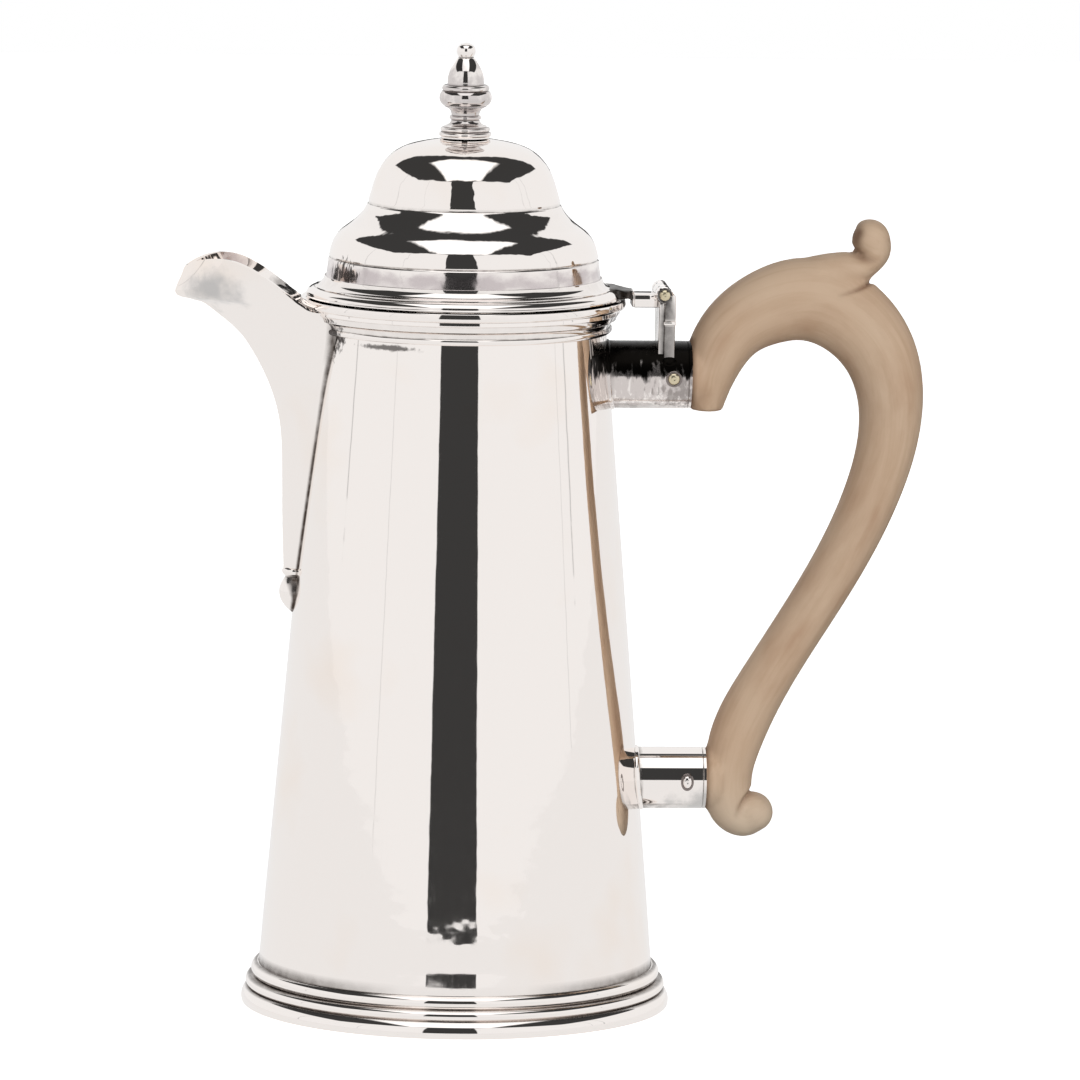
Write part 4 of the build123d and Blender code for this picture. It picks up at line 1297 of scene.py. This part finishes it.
@dataclass
class ScrollHandle:
    """Carved double-scroll handle, with its ear at the top and its volute at the foot."""

    wood: bpy.types.Material
    sockets: tuple[tuple[float, float, float], ...] = (
        # mouth, height of the axis, outer radius
        (57.94, 161.2, 8.6), (63.25, 57.8, 7.85))
    voxel: float = 0.62
    joint_reach: float = 1.2            # how far from a socket's mouth the wood gets painted shadow
    joint_fade: float = 1.4
    joint_shade: float = 0.85
    ear_corner: Point = (94.0, 180.0)   # the creases of the ear lie beyond it
    volute_top: float = 57.0            # and those of the volute below it
    stations: tuple[tuple[float, float, float, float], ...] = (
        # x, z, half thickness, half width
        (62.0, 152.4, 4.1, 6.2), (63.0, 162.4, 6.9, 8.2), (68.5, 172.8, 8.4, 8.6), (77.74, 178.8, 9.8, 8.4),
        (87.4, 180.65, 10.6, 8.2), (98.3, 176.2, 10.35, 8.0), (106.15, 166.5, 9.4, 7.9),
        (109.04, 153.2, 8.2, 7.8), (105.64, 134.0, 7.2, 7.6), (92.55, 106.5, 6.5, 7.2),
        (77.55, 81.8, 6.6, 6.9), (70.5, 66.2, 6.7, 6.7), (69.2, 55.8, 6.0, 6.4), (70.7, 49.9, 6.0, 6.1),
        (73.8, 47.9, 5.1, 5.6), (75.8, 48.8, 4.6, 5.4))
    ear: tuple[tuple[float, float, float, float], ...] = (
        (86.0, 184.0, 7.0, 6.4), (93.2, 187.0, 5.5, 6.0), (98.8, 188.5, 4.6, 5.6), (102.4, 190.6, 3.9, 5.2),
        (104.1, 193.4, 4.3, 5.0), (103.6, 195.8, 4.6, 4.8))
    knobs: tuple[tuple[float, float, float, float], ...] = (
        # x, z, radius, half width
        (102.95, 196.05, 5.1, 5.5), (75.75, 49.1, 5.0, 6.3))
    creases: tuple[Crease, ...] = (
        Crease(((98.4, 193.7), (99.9, 192.4), (102.2, 191.2), (104.4, 191.0)), 0.9, 1.0, 0.6),
        Crease(((104.6, 185.6), (102.2, 184.8), (99.2, 183.7), (94.6, 182.4)), 0.8, 0.55, 0.8),
        Crease(((99.2, 198.2), (98.6, 195.8), (99.4, 193.9)), 0.8, 1.5, 0.8),
        Crease(((75.4, 55.0), (73.2, 53.0), (71.6, 50.6), (70.8, 48.2)), 0.9, 0.65, 0.5))

    def build(self) -> None:
        """Carves the handle in one piece."""
        bm = bmesh.new()
        self.sweep(bm, self.stations, 12)
        self.sweep(bm, self.ear, 8)
        for knob in self.knobs:
            self.knob(bm, *knob)
        for socket in self.sockets:
            self.tenon(bm, *socket)
        bmesh.ops.recalc_face_normals(bm, faces=bm.faces)
        rough = finish_mesh(bm, "handle_blank", recalculate=False)
        remesh = rough.modifiers.new("union", "REMESH")
        remesh.mode = "VOXEL"
        remesh.voxel_size = self.voxel * MM
        smooth = rough.modifiers.new("rubbed", "SMOOTH")
        smooth.factor, smooth.iterations = 0.5, 7
        mesh = bpy.data.meshes.new_from_object(rough.evaluated_get(bpy.context.evaluated_depsgraph_get()))
        bpy.data.objects.remove(rough)
        bm = bmesh.new()
        bm.from_mesh(mesh)
        bmesh.ops.scale(bm, vec=Vector((1 / MM,) * 3), verts=bm.verts)
        handle = finish_mesh(bm, "carved_handle", recalculate=False, grooves=self.gouge)
        dress(handle, self.wood, Body.POT, "handle", slot=Slot.WOOD)

    def gouge(self, bm: bmesh.types.BMesh) -> None:
        """Cuts the creases into the ear and the volute, and paints shade into them and where the wood meets
        the sockets.

        Args:
            bm: The rubbed mesh, in millimetres.
        """
        layer = tarnish_and_shade_layer(bm)
        lines = []
        for crease in self.creases:
            line = spline(crease.line, 8)
            fades = [1 - (index / len(line)) ** 3 for index in range(len(line))]
            lines.append((crease, list(zip(line, fades))))
        near = [vert for vert in bm.verts if vert.co.z < self.volute_top
                or vert.co.x > self.ear_corner[0] and vert.co.z > self.ear_corner[1]]
        for vert in bm.verts:
            vert[layer] = 0.0
        for vert in near:
            spot = (vert.co.x, vert.co.z)
            cut = shade = 0.0
            for crease, line in lines:
                depth = max(fade * math.exp(-(math.dist(spot, point) / crease.width) ** 2)
                            for point, fade in line)
                cut = max(cut, crease.depth * depth)
                shade = max(shade, crease.shade * depth)
            vert.co -= vert.normal * cut
            vert[layer] = shade
        # painted shadow where the wood goes into each socket
        for end, height, radius in self.sockets:
            for vert in bm.verts:
                inward = end + self.joint_reach - vert.co.x
                if inward > 0 and abs(vert.co.z - height) < radius + 1.0:
                    vert[layer] = max(vert[layer], self.joint_shade * min(1.0, inward / self.joint_fade))
        self.follow(bm)
        bm.normal_update()

    def follow(self, bm: bmesh.types.BMesh) -> None:
        """Writes where each vertex lies across and along the centre line, for the streaks.

        Args:
            bm: The handle's mesh, in millimetres.
        """
        line = [Vector((x, 0, z)) for x, z, *_ in spline(self.stations, 8)]
        tree = KDTree(len(line))
        along = [0.0]
        for index, spot in enumerate(line):
            tree.insert(spot, index)
            if index:
                along.append(along[-1] + (spot - line[index - 1]).length)
        tree.balance()
        layer = bm.verts.layers.float_vector.new(GRAIN)
        for vert in bm.verts:
            _, index, _ = tree.find(Vector((vert.co.x, 0, vert.co.z)))
            way = (line[min(index + 1, len(line) - 1)] - line[max(index - 1, 0)]).normalized()
            off = vert.co - line[index]
            vert[layer] = Vector((off.cross(way).y, vert.co.y, along[index] + off.dot(way))) * MM

    def sweep(self, bm: bmesh.types.BMesh, stations: Sequence[Sequence[float]], steps: int) -> None:
        """Lofts oval sections that stand square to a smooth centre line.

        Args:
            bm: Mesh that gets the sweep.
            stations: x, z, half thickness and half width of each section.
            steps: Sections between two stations.
        """
        fine = spline(stations, steps)
        places = []
        for index, (x, z, thick, wide) in enumerate(fine):
            before, after = fine[max(index - 1, 0)], fine[min(index + 1, len(fine) - 1)]
            along = math.atan2(after[1] - before[1], after[0] - before[0])
            places.append(Matrix.Translation((x, 0, z)) @ Matrix.Rotation(-along, 4, "Y")
                          @ Matrix.Rotation(math.pi / 2, 4, "Y") @ Matrix.Diagonal((thick, wide, 1, 1)))
        loft(bm, places, 48, 1.0)

    def knob(self, bm: bmesh.types.BMesh, x: float, z: float, radius: float, half: float) -> None:
        """Adds the round end of a scroll, fuller in the middle than a disc.

        Args:
            bm: The handle's mesh, in millimetres.
            x: Its place.
            z: Its height.
            radius: Its radius in the middle plane.
            half: Half its width.
        """
        ball = bmesh.ops.create_uvsphere(bm, u_segments=48, v_segments=32, radius=1.0)["verts"]
        for vert in ball:
            vert.co.z = math.copysign(abs(vert.co.z) ** 0.8, vert.co.z)
        bmesh.ops.transform(bm, matrix=Matrix.Translation((x, 0, z)) @ Matrix.Rotation(math.pi / 2, 4, "X")
                            @ Matrix.Diagonal((radius, radius, half, 1)), verts=ball)

    def tenon(self, bm: bmesh.types.BMesh, end: float, height: float, radius: float) -> None:
        """Adds the round shoulder at a socket and the tenon inside it.

        Args:
            bm: The handle's mesh, in millimetres.
            end: Mouth of the socket.
            height: Height of the socket's axis.
            radius: Outer radius of the socket.
        """
        for start, stop, size in ((end, end + 0.5 * radius, radius - 0.1),
                                  (end - 14.0, end + 1, radius - 1.2)):
            made = bmesh.ops.create_cone(bm, cap_ends=True, segments=64, radius1=size, radius2=size,
                                         depth=stop - start)["verts"]
            bmesh.ops.transform(bm, matrix=Matrix.Translation(((start + stop) / 2, 0, height))
                                @ Matrix.Rotation(math.pi / 2, 4, "Y"), verts=made)


# ------------------------------------------------------------------ sockets and pins
@dataclass
class HandleSocket:
    """Round socket soldered to the body, with a collar at its root, a fine line at its mouth and a pin."""

    silver: bpy.types.Material
    pin_finish: bpy.types.Material
    ring_finish: bpy.types.Material
    pot: TaperedBody
    name: str
    height: float
    end: float
    outer: float
    pin_x: float
    pin_z: float
    pin_slot: Slot
    pin_size: Point = (1.45, 1.45)      # half sizes of the head along X and Z
    pads: tuple[tuple[float, float, float, float], ...] = ()    # x, z, half sizes of drops of solder
    wall: float = 1.0

    def build(self) -> None:
        """Makes the tube, the pin's two heads and the seats round them."""
        self.tube()
        self.pin()

    def tube(self) -> None:
        """Turns the tube and fits its root to the wall."""
        r, end, root = self.outer, self.end, 0.0
        wall = self.pot.radius(self.height) - 0.25
        outline = [(r - self.wall, end), (r - 0.12, end), (r, end - 0.12), (r, end - 0.75),
                   (r - 0.14, end - 0.85), (r - 0.14, end - 0.95), (r, end - 1.05), (r, end - 1.3),
                   (r, wall + 1.3), (r, wall + 1.05), (r + 0.12, wall + 0.95), (r + 0.3, wall + 0.8),
                   (r + 0.36, wall + 0.6), (r + 0.36, root), (r - self.wall, root)]
        bm = spun(outline, 128)
        along_x(bm, self.height)
        for vert in bm.verts:
            skin = math.sqrt(self.pot.radius(vert.co.z) ** 2 - vert.co.y ** 2) - 0.25
            if vert.co.x < 1.0:
                vert.co.x = skin
            elif vert.co.x < wall + 1.2:
                vert.co.x += skin - wall
        for x, z, half_x, half_z in self.pads:
            drop = spun(joined([(0, 0.55)], arc((0.1, 0.55), (0.7, 0.4), (1.0, -0.1), 8)), 40, closed=False)
            bmesh.ops.scale(drop, vec=Vector((half_x, half_z, 1.0)), verts=drop.verts)
            self.on_tube(drop, -1, x, z)
            add_part(bm, drop)
        tube = finish_mesh(bm, f"{self.name}_socket_tube")
        dress(tube, self.silver, Body.POT, f"{self.name}_socket")

    def on_tube(self, bm: bmesh.types.BMesh, side: int, at_x: float, at_z: float) -> None:
        """Bends a small turned shape, whose height is above the tube, onto one side of the tube.

        Args:
            bm: The shape's mesh, in millimetres.
            side: Sign of the Y axis on that side.
            at_x: Its place along the tube.
            at_z: Its height.
        """
        for vert in bm.verts:
            x, z, lift = vert.co.x + at_x, vert.co.y + at_z, vert.co.z
            vert.co = (x, side * (math.sqrt(self.outer ** 2 - (z - self.height) ** 2) + lift), z)

    def pin(self) -> None:
        """Domes the two heads of the pin, each with the dot that the punch left, in a dark ring."""
        head = joined([(0, 0.42), (0.16, 0.44), (0.26, 0.5)],
                      arc((0.3, 0.5), (0.75, 0.4), (0.97, 0.16), 8), [(1.0, 0.02), (1.0, -0.3)])
        ring = joined([(0.98, -0.1)], arc((1.0, 0.05), (1.22, 0.2), (1.42, 0.02), 6), [(1.46, -0.1)])
        dress(self.on_both_sides(head, "heads"), self.pin_finish, Body.POT, f"{self.name}_handle_pin",
              slot=self.pin_slot)
        dress(self.on_both_sides(ring, "seats"), self.ring_finish, Body.POT)

    def on_both_sides(self, outline: Sequence[Point], suffix: str) -> bpy.types.Object:
        """Turns a small outline and sets it on both sides, where the pin comes through.

        Args:
            outline: Radius as a share of the head's half size, and height above the tube.
            suffix: What the piece is of the pin.

        Returns:
            The new object.
        """
        both = bmesh.new()
        for side in (-1, 1):
            shape = spun(outline, 48, closed=False)
            bmesh.ops.scale(shape, vec=Vector((*self.pin_size, 1.0)), verts=shape.verts)
            self.on_tube(shape, side, self.pin_x, self.pin_z)
            add_part(both, shape)
        return finish_mesh(both, f"{self.name}_pin_{suffix}")


# ------------------------------------------------------------------ hinge
@dataclass
class StandingHinge:
    """Bracket on the upper socket, arm on the lid, and the pin that joins them."""

    silver: bpy.types.Material
    gilt: bpy.types.Material
    dark: bpy.types.Material
    axis: Point = (50.5, 182.25)
    half: float = 9.0                   # of the hinge along its pin
    middle: float = 4.0                 # of the lid's knuckle
    knuckle: float = 2.15
    side_play: float = 0.25
    box_drop: float = 1.95              # of the box's middle below the pin
    box_length: float = 5.4
    bead_height: float = 175.1
    socket: Point = (161.2, 8.65)       # height and outside radius of the socket below

    def build(self) -> None:
        """Makes the bracket, the arm and the pin."""
        self.bracket()
        self.arm()
        self.pin()

    def bracket(self) -> None:
        """Cuts the leaf, solders its knuckles, its bead and its foot."""
        x, z = self.axis
        bm = bmesh.new()
        saddle, step = self.socket[0] + self.socket[1] - 3.8, self.bead_height
        gap = self.middle + self.side_play
        front = [(7.0, saddle), (7.1, saddle + 3.0), (7.6, step - 1.0), (8.2, step), (9.0, step + 1.4),
                 (9.0, z), (gap, z), (gap, z - 2.9)]
        back = [(6.2, saddle), (6.3, saddle + 3.0), (8.0, step + 1.4), (8.0, z - 0.4), (gap, z - 0.4),
                (gap, z - 2.9)]
        for side, start, thick in ((front, x + 0.05, 2.75), (back, x - 1.35, 1.6)):
            leaf = bmesh.new()
            verts = [leaf.verts.new((start, y, height)) for y, height in side]
            verts += [leaf.verts.new((start, -y, height)) for y, height in reversed(side)]
            leaf.faces.new(verts)
            pushed = bmesh.ops.extrude_face_region(leaf, geom=leaf.faces[:])["geom"]
            bmesh.ops.translate(leaf, verts=[v for v in pushed if isinstance(v, bmesh.types.BMVert)],
                                vec=(thick, 0, 0))
            bmesh.ops.recalc_face_normals(leaf, faces=leaf.faces)
            soften(leaf, 0.3)
            add_part(bm, leaf)
        for side in (-1, 1):
            barrel = spun([(0, gap), (self.knuckle - 0.25, gap), (self.knuckle, gap + 0.25),
                           (self.knuckle, self.half - 0.25), (self.knuckle - 0.2, self.half - 0.02),
                           (self.knuckle - 0.3, self.half), (1.8, self.half - 0.04), (1.2, self.half - 0.12),
                           (0, self.half - 0.14)], 48, closed=False)
            self.across(barrel, side)
            add_part(bm, barrel)
        add_part(bm, block((3.2, 17.6, 0.9), (x + 1.42, 0, step), 0.25))
        bracket = finish_mesh(bm, "hinge_bracket_leaf", grooves=self.leaf_tarnish)
        dress(bracket, self.silver, Body.POT, "hinge_bracket")

    def across(self, bm: bmesh.types.BMesh, side: int = 1) -> None:
        """Turns a shape spun about Z so that it lies on the hinge axis, on one side."""
        turn = Matrix.Rotation(-side * math.pi / 2, 4, "X")
        bmesh.ops.transform(bm, matrix=Matrix.Translation((self.axis[0], 0, self.axis[1])) @ turn,
                            verts=bm.verts)

    def arm(self) -> None:
        """Bridges the arm from the flange to its box, and adds the middle knuckle."""
        x, z = self.axis
        box_start, box_level = x - self.knuckle - self.box_length, z - self.box_drop
        level = box_level + 1.25
        bm = bmesh.new()
        neck = bmesh.new()
        rows = ((36.2, 7.5, 181.0, 183.6), (38.4, 7.3, 181.0, 183.5), (40.2, 6.6, 180.95, level + 1.5),
                (41.6, 4.6, 180.9, level + 1.35), (42.6, 3.5, level - 1.2, level + 1.25),
                (box_start + 0.2, 3.3, level - 1.25, level + 1.25))
        loft(neck, [Matrix.Translation((at, 0, (low + high) / 2)) @ Matrix.Rotation(math.pi / 2, 4, "Y")
                    @ Matrix.Diagonal((high - low, 2 * half, 1, 1)) @ Matrix.Rotation(math.pi / 4, 4, "Z")
                    for at, half, low, high in rows], 4, math.sqrt(0.5))
        bmesh.ops.recalc_face_normals(neck, faces=neck.faces)
        soften(neck, 0.35)
        add_part(bm, neck)
        for start, stop, half, high in ((box_start, x - 1.2, self.middle, 1.7),
                                        (box_start - 0.35, box_start + 0.35, self.middle - 0.1, 1.62)):
            add_part(bm, block((stop - start, 2 * half, 2 * high), ((start + stop) / 2, 0, box_level), 0.4))
        bevel, end = 0.25, self.middle
        barrel = spun([(0, -end), (self.knuckle - bevel, -end), (self.knuckle, bevel - end),
                       (self.knuckle, end - bevel), (self.knuckle - bevel, end), (0, end)], 48, closed=False)
        self.across(barrel)
        add_part(bm, barrel)
        arm = finish_mesh(bm, "lid_arm", grooves=self.neck_tarnish)
        dress(arm, self.dark, Body.LID, "lid_hinge_arm")

    def leaf_tarnish(self, bm: bmesh.types.BMesh) -> None:
        """Dulls the leaf, most along its edge on the lid's side, and blackens the seat of the pin.

        Args:
            bm: The bracket's mesh, in millimetres.
        """
        mark_grooves(bm)
        layer = bm.verts.layers.float[GROOVE]
        x, z = self.axis
        for vert in bm.verts:
            if abs(vert.co.z - self.bead_height) > 0.6 and vert.co.z < z - 2.3:
                across = ramp(vert.co.x, [(x - 1.4, 0.3), (x + 0.1, 0.95), (x + 1.0, 0.4), (x + 2.8, 0.55)])
                vert[layer] = max(vert[layer], across)
            if abs(vert.co.y) > self.half - 0.15 and math.hypot(vert.co.x - x, vert.co.z - z) < 1.9:
                vert[layer] = 1.0

    def neck_tarnish(self, bm: bmesh.types.BMesh) -> None:
        """Darkens the neck of the arm as well as its grooves.

        Args:
            bm: The arm's mesh, in millimetres.
        """
        mark_grooves(bm)
        layer = bm.verts.layers.float[GROOVE]
        for vert in bm.verts:
            if vert.co.x < self.axis[0] - self.knuckle - self.box_length - 0.2:
                vert[layer] = 1.0

    def pin(self) -> None:
        """Rivets the pin over at both ends."""
        both = bmesh.new()
        for side in (-1, 1):
            end = spun(joined([(0, self.half - 0.4), (1.25, self.half - 0.4), (1.35, self.half - 0.1)],
                              arc((1.33, self.half + 0.1), (0.95, self.half + 0.4), (0, self.half + 0.5), 8)),
                       48, closed=False)
            self.across(end, side)
            add_part(both, end)
        pin = finish_mesh(both, "hinge_pin_ends")
        dress(pin, self.gilt, Body.POT, "hinge_pin", slot=Slot.GILT)


# ------------------------------------------------------------------ all pieces
def dress_nodes(finishes: dict[Slot, bpy.types.Material]) -> None:
    """Gives every CAD node that stays its finish.

    Args:
        finishes: Material for each slot.
    """
    slots = {"upper_handle_pin": Slot.GILT, "hinge_pin": Slot.GILT, "handle": Slot.WOOD}
    for name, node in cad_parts.items():
        slot = slots.get(name, Slot.SILVER)
        node.data.materials.clear()
        node.data.materials.append(finishes[slot])


def main() -> None:
    """Builds the studio and the pot in order, and reports every piece."""
    logging.basicConfig(level=logging.INFO, format="%(name)s: %(message)s")
    studio = Studio()
    studio.world()
    studio.floor()
    studio.camera()
    silver, wood, gilt = PolishedSilver().make(), Boxwood().make(), GiltBrass().make()
    dull = PolishedSilver(name="sterling_silver_oxidised", colour="8E8582", warm="7C706A",
                          roughness=0.16).make()
    dark_reflection, umber = "12100E", "2B2321"
    # painted reflection on the upper socket: pale grey all over, a grey patch by the pin, and a black top
    # with a ragged lower edge
    reflection_painted_socket = StainedAndShadedSilver(name="sterling_silver_painted_reflection", stains_and_shades=(
        StainAndShadePatch((48, 0, 161.2), (60, 30, 9.4), "D3CAC7", 0.8, 1.3, 3.0, 0.5, 0.5),
        StainAndShadePatch((56, -6, 158.0), (9, 8, 5.5), "8C8480", 0.7, 1.1, 3.5, 0.6, 0.7),
        StainAndShadePatch((48, 0, 169.6), (60, 30, 8.6), "5A5350", 0.8, 1.4, 4.0, 0.25, 0.5),
        StainAndShadePatch((48, 0, 171.0), (60, 30, 10.0), dark_reflection, 1.0, 1.8, 3.5, 0.24, 0.22))).make()
    # painted shade: the lower half of the lower socket is grey
    shaded_below = StainedAndShadedSilver(name="sterling_silver_painted_shade_below", stains_and_shades=(
        StainAndShadePatch((66, 0, 50.5), (16, 30, 7.4), "C2C0BE", 0.85, 5.0, 1.5, 0.25, 0.6),)).make()
    blackened = PolishedSilver(name="sterling_silver_oxidised_neck", groove_strength=1.0, groove_gap=0.8,
                               tarnish_and_shade="26211E").make()
    banded = StainedAndShadedSilver(name="sterling_silver_steamed", wave_mm=7.5, wave_height_mm=0.2, stains_and_shades=(
        StainAndShadePatch((0, 0, 187.4), (90, 90, 3.6), "C9BFC0", 0.85, 7.0, 0.5, 0.3, 0.7),
        StainAndShadePatch((-31, -16, 188.0), (4.0, 7, 2.8), umber, 0.9, 1.0, 2.5, 0.9, 0.5))).make()
    clouded_and_shaded = StainedAndShadedSilver(name="sterling_silver_clouded_and_shaded", groove_strength=1.0, groove_gap=0.75, stains_and_shades=(
        StainAndShadePatch((-64, -9, 182.5), (11, 12, 7.5), "C6C4C3", 0.9, 6.0, 1.0, 0.35, 0.9),
        # painted shadow: dark patches on the far wall inside the beak, one near the tip
        StainAndShadePatch((-70.5, 6, 186.8), (3.4, 5, 3.4), "6E6966", 0.6, 3.0, 1.0, 0.3, 0.6),
        StainAndShadePatch((-43.5, 13, 181.5), (6.0, 7, 4.0), "6E6966", 0.6, 3.0, 1.0, 0.3, 0.6))).make()
    # painted shadow: dark patches in the spout's corner under the rim, at the rim's right end (behind) and in
    # a line under the rim
    spout_corner_shadow = StainAndShadePatch((-34, -15, 172.5), (5.0, 7, 5.5), umber, 0.95, 1.3, 1.5, 0.5, 0.5)
    behind = StainAndShadePatch((39, -9, 174.5), (4.5, 10, 7.0), umber, 0.95, 1.4, 1.5, 0.7, 0.5)
    under_rim_shadow = StainAndShadePatch((-20, -30, 170.9), (11, 9, 0.9), umber, 0.8, 1.6, 1.0, 0.3, 0.6)
    dented = DentedSilver(groove_strength=0.85, groove_gap=0.8, stains_and_shades=(spout_corner_shadow, behind, under_rim_shadow)).make()
    rim_shadowed = StainedAndShadedSilver(name="sterling_silver_rim_shadowed", stains_and_shades=(spout_corner_shadow, behind)).make()
    cast = StainedAndShadedSilver(name="sterling_silver_cast", groove_strength=1.0, groove_gap=0.7, stains_and_shades=(
        StainAndShadePatch((0, 0, 230), (16, 16, 12), "A0989A", 0.45, 3.0, 1.0, 0.4, 0.7),)).make()
    dress_nodes({Slot.SILVER: silver, Slot.WOOD: wood, Slot.GILT: gilt})
    pot = TaperedBody(dented, rim_shadowed)
    pot.build()
    DomedLid(silver, banded).build()
    BalusterFinial(cast).build()
    BeakSpout(clouded_and_shaded, pot).build()
    HandleSocket(reflection_painted_socket, gilt, dull, pot, "upper", height=161.2, end=57.94, outer=8.6, pin_x=53.15,
                 pin_z=161.0, pin_slot=Slot.GILT, pads=((52.0, 165.3, 1.9, 1.3),)).build()
    HandleSocket(shaded_below, silver, dull, pot, "lower", height=57.8, end=63.25, outer=7.85, pin_x=58.2,
                 pin_z=57.8, pin_slot=Slot.SILVER, pin_size=(1.15, 1.6)).build()
    StandingHinge(blackened, gilt, blackened).build()
    ScrollHandle(wood).build()
    scene = bpy.context.scene
    scene.view_settings.view_transform = "Standard"


if __name__ == "__main__":
    main()
